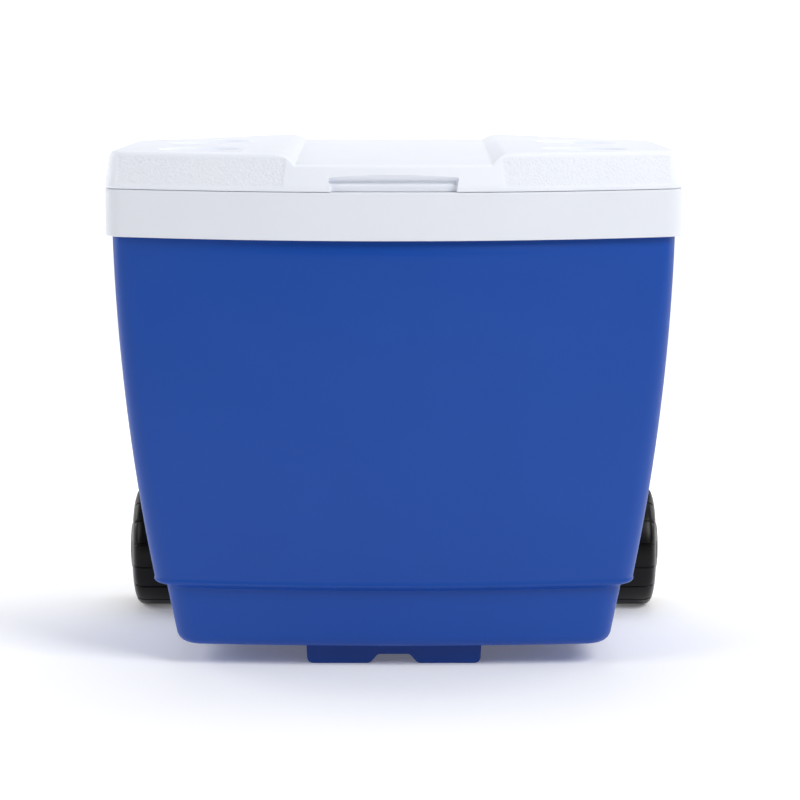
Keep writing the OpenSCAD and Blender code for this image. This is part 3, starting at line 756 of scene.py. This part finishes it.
    def build(self) -> None:
        """Build the shell: outer skin less arches and scoops, less the same moved in by the wall."""
        outer = np.array([PLAN.ring(r) for r in self.profile(0.0)])
        shell = loft("body_shell_skin", list(self.crease(outer)))
        inner = loft("body_hollow", [PLAN.ring(r) for r in self.profile(self.wall)])
        for piece, grow in ((shell, 0.0), (inner, self.wall)):
            for cutter in self.wells(grow) + self.scoops(grow):
                carve(piece, cutter)
        carve(shell, inner)
        for side in Side:
            bore = lathe(f"boss_way{side.value}", plug_section(self.boss_r, *self.boss_way), 48)
            carve(shell, on_axle(bore, self.axle, side, Z_TO_X))
        carve(shell, Drain().way())
        crisp(shell)
        enlist(shell, "root", Slot.BODY, "body_shell")


@dataclass
class FrontFoot:
    """The two-pad foot screwed under the front of the body."""

    pad_in: float = 23.6
    notch_in: float = 15.5
    notch_z: float = 9.3
    round_mm: float = 6.0
    edge_mm: float = 1.4
    screw_at: float = 52.0
    screw_r: float = 2.2
    head_r: float = 5.0
    head_top: float = 10.0

    def build(self) -> None:
        """Build the foot with rounded pads and screw wells."""
        low, high = box_mm("front_foot")
        half, top = high.x - 1, high.z
        right = [(self.notch_in, self.notch_z), (self.pad_in, 0), (half, 0), (high.x, top)]
        outline = right + [(-x, z) for x, z in reversed(right)]
        soft = [2.2, 2.5, self.round_mm, 0, 0, self.round_mm, 2.5, 2.2]
        section = np.array(soften(outline, soft, 4))
        rings = []
        across, up = section.T
        edge, part = self.edge_mm, self.edge_mm * 0.3
        for inset, y in ((edge, low.y), (part, low.y + part), (0, low.y + edge),
                         (0, high.y - edge), (part, high.y - part), (edge, high.y)):
            rings.append(np.stack([across - np.sign(across) * inset * (abs(across) > half - 4),
                                   np.full(len(section), y), up + inset * (up < 1.5)], axis=-1))
        foot = loft("front_foot_pads", rings)
        for x in (-self.screw_at, self.screw_at):
            way = [(ON_AXIS, -1), (self.head_r, -1), (self.head_r, self.head_top),
                   (self.screw_r, self.head_top), (self.screw_r, 30), (ON_AXIS, 30)]
            well = lathe("foot_well", soften(way, [0, 0, 0.6, 0, 0, 0]), 40)
            moved(well, Matrix.Translation(Vector((x, (low.y + high.y) / 2, 0)) * M))
            carve(foot, well)
        crisp(foot)
        enlist(foot, "root", Slot.FOOT, "front_foot")


# ---- Collar and liner ----


@dataclass
class Collar:
    """The white collar that clips over the body's edge and carries the lid."""

    bow: float = 6.6e-4
    corner: float = 25.0
    band: float = 36.0
    mouth_corner: float = 30.0
    skirt: float = 4.5
    cap: float = 15.9
    top_round: float = 2.2
    low_round: float = 1.0

    def __post_init__(self) -> None:
        """Take the collar's places from its CAD box."""
        low, high = box_mm("rim_collar")
        self.outer = Ring(high.x, low.y, high.y, self.bow, self.corner, high.z)
        self.low, self.high = low.z, high.z

    def mouth(self, z: float, out: float = 0.0) -> Ring:
        """The inner edge, moved out by that much."""
        o, b = self.outer, self.band - out
        return Ring(o.half - b, o.front + b, o.rear - b, self.bow, self.mouth_corner + out, z)

    def at(self, z: float, inset: float) -> Ring:
        """The outer outline moved in by inset, at height z."""
        return self.outer.inset(inset, inset, inset, z)

    def build(self) -> None:
        """Build the collar as one closed band."""
        under = self.high - self.cap
        corners = [self.at((self.low + self.high) / 2, 0), self.at(self.high, 0), self.mouth(self.high),
                   self.mouth(under), self.at(under, self.skirt), self.at(self.low, self.skirt),
                   self.at(self.low, 0), self.at((self.low + self.high) / 2 - 1, 0)]
        rings = rounded(corners, [0, self.top_round, 2.0, 0, 1.5, 0.8, self.low_round, 0], 5)
        collar = loft("rim_collar_band", [PLAN.ring(r) for r in rings], closed=True)
        crisp(collar)
        enlist(collar, "root", Slot.LID, "rim_collar", finish=COLLAR_FINISH)


@dataclass
class Liner:
    """The white tub inside the foam, with a flange under the collar."""

    low_half: float = 194.0
    low_front: float = 76.0
    low_rear: float = 346.0
    low_bow: float = 3.95e-4
    floor: float = 56.0
    wall: float = 2.5
    floor_round: float = 8.0
    flange: float = 7.0

    def __post_init__(self) -> None:
        """Take the top from the CAD box."""
        self.collar = Collar()
        _, high = box_mm("liner")
        self.top = high.z

    def ring(self, z: float, out: float) -> Ring:
        """The tub's outline at height z, moved out by that much."""
        front = self.collar.outer.front
        low = Ring(self.low_half, front + self.low_front, front + self.low_rear, self.low_bow,
                   self.collar.mouth_corner, self.floor + self.floor_round)
        t = max((z - low.z) / (self.top - low.z), 0.0)
        r = low.toward(self.collar.mouth(self.top), t)
        return Ring(r.half + out, r.front - out, r.rear + out, r.bow, r.corner + out, z)

    def build(self) -> None:
        """Build the tub with a rounded floor edge, a flange and the drain's hole."""
        start, under = self.floor + self.floor_round, self.top - 2.8
        rings = []
        for k in range(8):
            turn = math.pi / 2 * k / 7
            out = self.wall - (1 - math.sin(turn)) * (self.floor_round + self.wall)
            rings.append(self.ring(start - (self.floor_round + self.wall) * math.cos(turn), out))
        rings += [self.ring(z, self.wall) for z in np.linspace(start + 20, under - 4, 20)]
        edge = [self.ring(under - 2, self.wall), self.ring(under, self.wall),
                self.collar.at(under, self.flange), self.collar.at(self.top, self.flange),
                self.ring(self.top, 0), self.ring(self.top - 6, 0)]
        rings += rounded(edge, [0, 0, 0, 0, 1.5, 0], 4)
        rings += [self.ring(z, 0) for z in np.linspace(under - 8, start + 20, 20)]
        for k in range(8):
            turn = math.pi / 2 * (1 - k / 7)
            rings.append(self.ring(start - self.floor_round * math.cos(turn),
                                   -(1 - math.sin(turn)) * self.floor_round))
        tub = loft("liner_tub", [PLAN.ring(r) for r in rings])
        carve(tub, Drain().way())
        crisp(tub)
        enlist(tub, "root", Slot.LINER, "liner")


# ---- Lid ----


@dataclass
class Lid:
    """The lid: a shallow box with raised wings, a sunken middle, four cup recesses and a finger recess."""

    trough_z: float = 490.0
    trough_half: float = 93.0
    ramp: float = 18.0  # how wide a wing's rounded inner wall is
    steep: float = 2.2  # how fast that wall starts up
    wing_back: float = 17.5
    wing_fall: float = 0.0123
    wing_twist: float = 1.32e-4
    wall: float = 3.0
    panel_in: float = 104.0  # where a pebbled front panel starts
    panel_depth: float = 0.5
    recess_half: float = 58.5
    recess_deep: float = 11.0
    cup_r: float = 42.0
    cup_floor: float = 488.0
    cup_round: float = 2.5
    cup_x: float = 186.0
    cup_back: tuple[float, float] = (125.0, 290.0)
    pan_wall: float = 2.5
    plug_gap: float = 5.0  # between the pan's plug and the collar's mouth

    def __post_init__(self) -> None:
        """Take the lid's places from its CAD box and the collar."""
        low, high = box_mm("lid_shell")
        self.low, self.high = low.z, high.z
        self.collar = Collar()
        self.edge = self.collar.outer
        places = np.concatenate([np.linspace(0, 57, 14), np.linspace(60, 90, 8), np.linspace(92, 113, 19),
                                 np.linspace(118, 270, 30)]) / 270
        self.plan = Plan(np.concatenate([-places[:0:-1], places]), arc=16, side=70)

    def top_at(self, x: np.ndarray, y: np.ndarray) -> np.ndarray:
        """Height of the top over each place."""
        out = abs(x) - self.trough_half
        back = np.maximum(y - self.edge.front - self.wing_back - self.edge.bow * x * x, 0)
        wing = self.high - back * (self.wing_fall + self.wing_twist * np.maximum(out - 14, 0))
        rise = 1 - (1 - np.clip(out / self.ramp, 0, 1)) ** self.steep
        return mix(self.trough_z, wing, rise)

    def insets(self, z: np.ndarray, top: np.ndarray) -> tuple[np.ndarray, np.ndarray, np.ndarray]:
        """How far the side, front and rear stand in at height z, under a top at that height."""
        up, down = z - self.low, np.clip(top - z, 0, None)
        low_edge = 0.7 * (1 - ease(up / 1.2))

        def rim(reach: float, tall: float) -> np.ndarray:
            """Rounding at the top edge."""
            near = np.clip(1 - down / tall, 0, 1)
            return reach * (1 - np.sqrt(1 - near**2))

        climb = np.maximum(up - 3, 0)
        front = low_edge + 0.545 * np.where(climb < 4, climb**2 / 8, climb - 2) + rim(2.0, 2.6)
        side = low_edge + 0.13 * climb + rim(5.0, 7.0)
        rear = low_edge + 0.02 * climb + rim(5.0, 7.0)
        return side, front, rear

    def volume(self, name: str, wall: float) -> bpy.types.Object:
        """The lid as a closed volume, moved in by wall and reaching lower than the lid if wall is set."""
        plan, e = self.plan, self.edge
        share = np.concatenate([[0, 0.02, 0.04], np.linspace(0.08, 0.9, 19),
                                1 - 0.1 * (1 - np.linspace(0.15, 1, 9)) ** 1.6])
        floor = self.low - (2 if wall else 0)
        ring = plan.points(e.half - 6, e.front + 14, e.rear - 4, e.bow, 19.0, self.low)
        top = self.top_at(ring[:, 0], ring[:, 1]) - wall
        rings = []
        for t in share:
            z = mix(floor, top, t)
            side, front, rear = self.insets(z, top)
            corner = np.maximum(e.corner - side - wall, 8)
            rings.append(plan.points(e.half - side - wall, e.front + front + wall, e.rear - rear - wall,
                                     e.bow, corner, z))
        if not wall:
            rings = [self.sink_panels(r) for r in rings]
        n = len(plan.part)
        faces = [(j * n + i, j * n + (i + 1) % n, (j + 1) * n + (i + 1) % n, (j + 1) * n + i)
                 for j in range(len(rings) - 1) for i in range(n)]
        faces.append(range(n - 1, -1, -1))
        patch, patch_faces = self.top_patch(rings[-1], wall, (len(rings) - 1) * n, len(rings) * n)
        return piece_from(name, np.concatenate([*rings, patch]), faces + patch_faces, 40)

    def top_patch(self, rim: np.ndarray, wall: float, base: int,
                  start: int) -> tuple[np.ndarray, list[tuple[int, ...]]]:
        """Fill the top with a grid between the four edges of its rim.

        Args:
            rim: the top ring.
            wall: how far the surface is moved down.
            base: number of the rim's first vertex.
            start: number that the first new vertex gets.

        Returns:
            New vertices and faces.
        """
        front, right, rear, left = self.plan.edges()
        across, along = len(front), len(right)
        u = np.linspace(0, 1, across)[:, None, None]
        v = np.linspace(0, 1, along)[None, :, None]
        f, r, lo, hi = (rim[k] for k in (front, right, rear, left))
        f, rear_row = f[:, None, :], lo[:, None, :]
        left_row, right_row = hi[None, :, :], r[None, :, :]
        fade_left, fade_right = (1 - u) ** 6, u**6
        grid = mix(f, rear_row, v)
        grid = grid + fade_left * (left_row - mix(f[:1], rear_row[:1], v))
        grid = grid + fade_right * (right_row - mix(f[-1:], rear_row[-1:], v))
        grid[..., 2] = self.top_at(grid[..., 0], grid[..., 1]) - wall
        number = np.full((across, along), -1)
        number[:, 0], number[:, -1] = base + front, base + rear
        number[0, :], number[-1, :] = base + left, base + right
        free = number < 0
        number[free] = start + np.arange(free.sum())
        faces = [(number[i, j], number[i + 1, j], number[i + 1, j + 1], number[i, j + 1])
                 for i in range(across - 1) for j in range(along - 1)]
        return grid[free], [tuple(int(k) for k in face) for face in faces]

    def panel_mask(self, x: np.ndarray, y: np.ndarray, z: np.ndarray) -> np.ndarray:
        """1 on the pebbled front panels of the wings, 0 off them, with a 2 mm border between."""
        border = 2.0
        inner = ease((abs(x) - self.panel_in + (z - self.low) * 0.12) / border)
        above = ease((z - self.low - 3.5) / border)
        below = ease((self.high - 4.0 - z) / border)
        depth = y - self.edge.front - self.edge.bow * x * x
        facing = ease((40 - depth) / 10) * ease((self.edge.half - 12 - abs(x)) / border)
        return inner * above * below * facing

    def sink_panels(self, ring: np.ndarray) -> np.ndarray:
        """Set the pebbled panels a little back from their smooth border."""
        ring[:, 1] += self.panel_depth * self.panel_mask(*ring.T)
        return ring

    def cups(self, grow: float) -> list[bpy.types.Object]:
        """Cutters for the four cup recesses, with a rounded floor edge and rim."""
        cutters = []
        for side in Side:
            for back in self.cup_back:
                x, y = side.value * self.cup_x, self.edge.front + back
                r, floor = self.cup_r + grow, self.cup_floor - grow
                middle = float(self.top_at(np.array(x), np.array(y)))
                corners = [(ON_AXIS, floor), (r, floor), (r, middle), (r + 4, middle + 4),
                           (ON_AXIS, middle + 4)]
                section = soften(corners, [0, self.cup_round, self.cup_round, 0, 0], 5)
                cutter = lathe("cup", section, 96)
                for vertex in cutter.data.vertices:
                    height = vertex.co.z / M - floor
                    over = self.top_at(np.array(x + vertex.co.x / M), np.array(y + vertex.co.y / M))
                    lean = over - middle
                    vertex.co.z += float(lean) * M * min(height / (middle - floor), 1.0)
                moved(cutter, Matrix.Translation(Vector((x, y, 0)) * M))
                cutters.append(cutter)
        return cutters

    def finger_cutter(self, grow: float) -> bpy.types.Object:
        """Cutter for the finger recess: a level pocket with a bevelled upper lip and raked ends."""
        front, low = self.edge.front, self.low
        deep = front + self.recess_deep + grow
        section = soften([(front - 20, low - 5), (deep, low - 5), (deep, low + 6 - grow),
                          (deep + 2.6, low + 7.6 - grow), (deep + 2.6, low + 9.9 + grow),
                          (front + 9.4 + grow, low + 11 + grow), (front + 7.2 + grow, low + 13.2 + grow),
                          (front + 5.8 + grow, low + 16.4 + grow), (front - 20, low + 17.6 + grow)],
                         [0, 0, 1.0, 0.6, 0.4, 1.0, 1.5, 1.5, 0], 4)
        rings = []
        for x, rake in ((-1, 1.0), (-0.985, 0.3), (-0.96, 0.0), (0.96, 0.0), (0.985, 0.3), (1, 1.0)):
            half = self.recess_half + grow
            rings.append(np.array([(x * (half + 3.5 * np.clip((z - low) / 16, 0, 1)),
                                    y - 1.2 * rake * (y > front), z - 0.8 * rake * (z > low))
                                   for y, z in section]))
        return loft("finger_way", rings)

    def build(self) -> None:
        """Build the shell and the pan under it."""
        shell = self.volume("lid_top_shell", 0.0)
        hollow = self.volume("lid_hollow", self.wall)
        for piece, grow in ((shell, 0.0), (hollow, self.wall)):
            for cutter in [self.finger_cutter(grow), *self.cups(grow)]:
                carve(piece, cutter)
        carve(shell, hollow)
        self.mark_panels(shell)
        crisp(shell, 32)
        enlist(shell, "lid", Slot.LID, "lid_shell")
        self.build_pan()

    def mark_panels(self, shell: bpy.types.Object) -> None:
        """Write the pebble mask to the mesh."""
        count = len(shell.data.vertices)
        co = np.empty(count * 3)
        shell.data.vertices.foreach_get("co", co)
        x, y, z = co.reshape(-1, 3).T / M
        mask = shell.data.attributes.new(PEBBLE_MASK, "FLOAT", "POINT")
        mask.data.foreach_set("value", self.panel_mask(x, y, z).astype(np.float32))

    def build_pan(self) -> None:
        """Build the pan: a flange against the lid and a plug that drops into the mouth."""
        low, high = box_mm("lid_pan")
        flange_low = self.low + 0.3

        def plug(z: float, inset: float) -> Ring:
            """The plug's outline."""
            b = self.collar.band + self.plug_gap + inset
            o = self.edge
            return Ring(o.half - b, o.front + b, o.rear - b, o.bow, self.collar.mouth_corner - inset, z)

        def flange(z: float) -> Ring:
            """The flange's outline."""
            return self.edge.inset(3.4, 3.9, 3.4, z)

        w = self.pan_wall
        outside = [plug(low.z, 30), plug(low.z, 5), plug(flange_low, 0), flange(flange_low),
                   flange(flange_low + w), plug(flange_low + w, w), plug(low.z + w, 5 + w),
                   plug(low.z + w, 30)]
        rings = rounded(outside, [0, 5, 2.0, 0.6, 0, 0, 2, 0], 5)
        bead = [plug(low.z, 70), plug(low.z + 0.01, 42), plug(low.z + 1.6, 40), plug(low.z + 1.6, 36),
                plug(low.z, 34)]
        rings = rounded(bead, [0, 1, 1, 1, 0], 3)[:-1] + rings
        pan = loft("lid_inner_pan", [PLAN.ring(r) for r in rings])
        carve(pan, self.finger_cutter(self.wall + 0.3))
        crisp(pan)
        enlist(pan, "lid", Slot.LINER, "lid_pan")


# ---- Wheels and axles ----


@dataclass
class Wheels:
    """Two blow-moulded wheels on stub axles."""

    lugs: int = 16
    groove_half: float = 0.9  # half width of a groove across the tread
    groove_depth: float = 1.1
    pockets: int = 6
    pocket_in: float = 28.0
    pocket_out: float = 46.0
    pocket_depth: float = 1.6
    pocket_half: float = 0.36  # half its angle, in radians
    pocket_blend: float = 0.1
    bore: float = 6.05

    def __post_init__(self) -> None:
        """Take the wheel's places from its CAD box."""
        low, high = box_mm("wheel_right")
        self.inner, self.width = low.x, high.x - low.x
        self.axle = (low + high) / 2
        self.radius = high.z - self.axle.z

    def angles(self) -> np.ndarray:
        """Angles of the mesh's spokes: four close together at each groove, the rest even."""
        pitch = 2 * math.pi / self.lugs
        groove = self.groove_half / self.radius
        local = np.concatenate([[-groove * 1.5, -groove * 0.7, groove * 0.7, groove * 1.5],
                                np.linspace(groove * 1.5, pitch - groove * 1.5, 9)[1:-1]])
        return (np.arange(self.lugs)[:, None] * pitch + pitch / 2 + local).ravel()

    def section(self) -> list[tuple[float, float, float, float]]:
        """(radius, distance from the inner face, tread depth share, pocket share) round the section."""
        r, w = self.radius, self.width
        outer = [(self.bore, w - 6), (14, w - 6), (14, w - 0.8), (14.8, w), (23.2, w), (24.6, w - 0.6),
                 (27, w - 1.2), (30, w - 1.6), (34, w - 2.0), (40, w - 2.6), (44, w - 3.0), (47.5, w - 3.5),
                 (51, w - 4.2), (54.5, w - 5.2), (57.4, w - 6.3), (59.6, w - 7.8), (61.1, w - 9.4), (62.0, w - 11.6),
                 (r, w - 15.0), (r, w - 23), (r, w - 31), (r, 8), (r, 4.0), (r - 0.8, 1.8), (r - 2.2, 0.4),
                 (r - 4, 0), (r - 6, 0), (r - 6, w - 15), (51, w - 10.5), (40, w - 8.4), (26, w - 7),
                 (13, w - 12), (13, 0), (self.bore, 0)]
        rows = []
        for radius, along in outer:
            tread = 1.0 if radius > r - 3 and 1.5 < along else 0.0
            pocket = 1.0 if self.pocket_in < radius < self.pocket_out and along > w - 5 else 0.0
            rows.append((radius, along, tread, pocket))
        return rows

    def build_one(self, side: Side) -> None:
        """Build one wheel."""
        angles = self.angles()
        pitch = 2 * math.pi / self.lugs
        in_groove = abs(angles % pitch - pitch / 2) < self.groove_half / self.radius
        spread = 2 * math.pi / self.pockets
        phase = abs((angles + spread / 2) % spread - spread / 2)
        rings = []
        for radius, along, tread, pocket in self.section():
            r = radius - self.groove_depth * tread * in_groove
            sunk = along - self.pocket_depth * pocket * ease((self.pocket_half - phase) / self.pocket_blend)
            rings.append(np.stack([np.broadcast_to(self.inner + sunk, r.shape), r * np.cos(angles),
                                   r * np.sin(angles)], axis=-1)[::-1])
        name = f"wheel_{side.name.lower()}"
        wheel = on_axle(loft(f"{name}_tyre", rings, closed=True, sharp=40), self.axle, side, AS_MADE)
        enlist(wheel, name, Slot.WHEEL, name)

    def build(self) -> None:
        """Build both wheels."""
        for side in Side:
            self.build_one(side)


# ---- Drain ----


@dataclass
class Drain:
    """Where the drain goes through the rear wall."""

    tilt: float = 5.0
    pipe_r: float = 9.0
    clearance: float = 0.3
    inward: float = 75.0  # how far the hole's cutter reaches in from the gasket, and out
    outward: float = 30.0

    def way(self) -> bpy.types.Object:
        """Cutter for the pipe's hole."""
        low, high = box_mm("drain_gasket")
        middle = (low + high) / 2
        section = plug_section(self.pipe_r + self.clearance, -self.inward, self.outward)
        cutter = lathe("drain_cut", section, 48)
        turn = Matrix.Rotation(math.radians(-90 - self.tilt), 4, "X")
        return moved(cutter, Matrix.Translation(middle * M) @ turn)


# ---- CAD nodes that stay ----


@dataclass
class KeptNodes:
    """CAD nodes that are shown as they are, with rounded edges and their own finish."""

    usual_edge: float = 0.4
    edge: dict[Slot, float] = field(default_factory=lambda: {
        Slot.FITTING: 0.5, Slot.STEEL: 0.2, Slot.TUBE: 0.25, Slot.SEAL: 0.3, Slot.FOAM: 0.0})
    bevel_from: float = 40.0  # degrees: flatter edges stay as they are

    def dress(self) -> None:
        """Give each shown node its finish and a small rounded edge."""
        for name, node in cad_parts.items():
            slot = Slot(node.data.materials[0].name.split(".")[0])
            edge = self.edge.get(slot, self.usual_edge)
            Paint.dress(node, FINISHES[slot])
            if node.hide_render or edge == 0:
                continue
            weld = node.modifiers.new("weld", "WELD")
            weld.merge_threshold = 1e-5
            bevel = node.modifiers.new("edge", "BEVEL")
            bevel.width, bevel.segments, bevel.limit_method = edge * M, 2, "ANGLE"
            bevel.angle_limit = math.radians(self.bevel_from)
            bevel.harden_normals = True
            LOG.info("%s stays, in %s", name, slot.value)


# ---- Studio ----


@dataclass
class Studio:
    """A pale floor, soft boxes and the camera."""

    stand_off: float = 3.0
    eye: float = 0.6983
    pitch: float = 8.12
    lens: float = 144.9
    aside: float = 0.006
    floor_grey: str = "#fdfdfe"
    floor_glow: float = 0.12  # the lit table under the paper

    def build(self) -> None:
        """Build the floor, lights, world and camera."""
        self.floor()
        self.lights()
        self.camera()

    def floor(self) -> None:
        """A floor that sweeps up into a backdrop."""
        half, near, far, bend = 9000.0, -9000.0, 3500.0, 1000.0
        line = [(near, 0.0), (far - bend, 0.0)]
        line += [(far - bend + bend * math.sin(a), bend * (1 - math.cos(a)))
                 for a in np.linspace(0.1, math.pi / 2, 15)]
        rows = np.array([(x, y, z) for y, z in line for x in (-half, half)])
        faces = [(2 * i, 2 * i + 1, 2 * i + 3, 2 * i + 2) for i in range(len(line) - 1)]
        floor = piece_from("studio_floor", rows, faces, 60)
        s = Shader("studio_paper")
        grain = s.add("ShaderNodeTexNoise", {"Vector": s.place, "Scale": 900.0})
        paper = linear(self.floor_grey)
        floor.data.materials.append(s.finish(base_color=paper, roughness=0.9, emission_color=paper,
                                             emission_strength=self.floor_glow,
                                             normal=s.relief(grain.outputs["Fac"], 0.1, 0.1)))

    def lights(self) -> None:
        """Soft boxes round the cooler, strongest from the high right, and one on the backdrop."""
        for name, place, aim, size, watts in (
            ("key", (1.9, -1.9, 2.3), (0, 0, 0.3), 1.6, 68),
            ("fill", (-2.3, -1.5, 1.6), (0, 0, 0.3), 1.6, 27),
            ("top", (0.2, 0.3, 2.6), (0, 0.05, 0.3), 1.8, 18),
            ("right_edge", (1.7, 0.9, 0.9), (0.2, 0, 0.3), 1.2, 10),
            ("left_edge", (-1.7, 0.9, 0.9), (-0.2, 0, 0.3), 1.2, 14),
            ("backdrop", (0, 1.9, 2.9), (0, 3.3, 0.6), 3.0, 60),
        ):
            light = bpy.data.lights.new(name, "AREA")
            light.shape, light.size, light.energy = "SQUARE", size, watts
            lamp = bpy.data.objects.new(name, light)
            lamp.location = place
            lamp.rotation_euler = (Vector(aim) - Vector(place)).to_track_quat("-Z", "Y").to_euler()
            bpy.context.scene.collection.objects.link(lamp)
        world = bpy.data.worlds.new("studio")
        world.use_nodes = True
        world.node_tree.nodes["Background"].inputs["Color"].default_value = linear("#f2f4f8")
        world.node_tree.nodes["Background"].inputs["Strength"].default_value = 0.06
        bpy.context.scene.world = world
        bpy.context.scene.view_settings.view_transform = "Standard"

    def camera(self) -> None:
        """A long lens in front of the collar, looking a little down."""
        data = bpy.data.cameras.new("camera")
        data.lens = self.lens
        camera = bpy.data.objects.new("camera", data)
        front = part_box("rim_collar")[0].y
        camera.location = (self.aside, front - self.stand_off, self.eye)
        camera.rotation_euler = (math.radians(90 - self.pitch), 0, 0)
        bpy.context.scene.collection.objects.link(camera)
        bpy.context.scene.camera = camera


def main() -> None:
    """Build every sub-assembly round the frame."""
    logging.basicConfig(level=logging.INFO, format="%(message)s")
    Body().build()
    FrontFoot().build()
    Collar().build()
    Liner().build()
    Lid().build()
    Wheels().build()
    KeptNodes().dress()
    Studio().build()


if __name__ == "__main__":
    main()
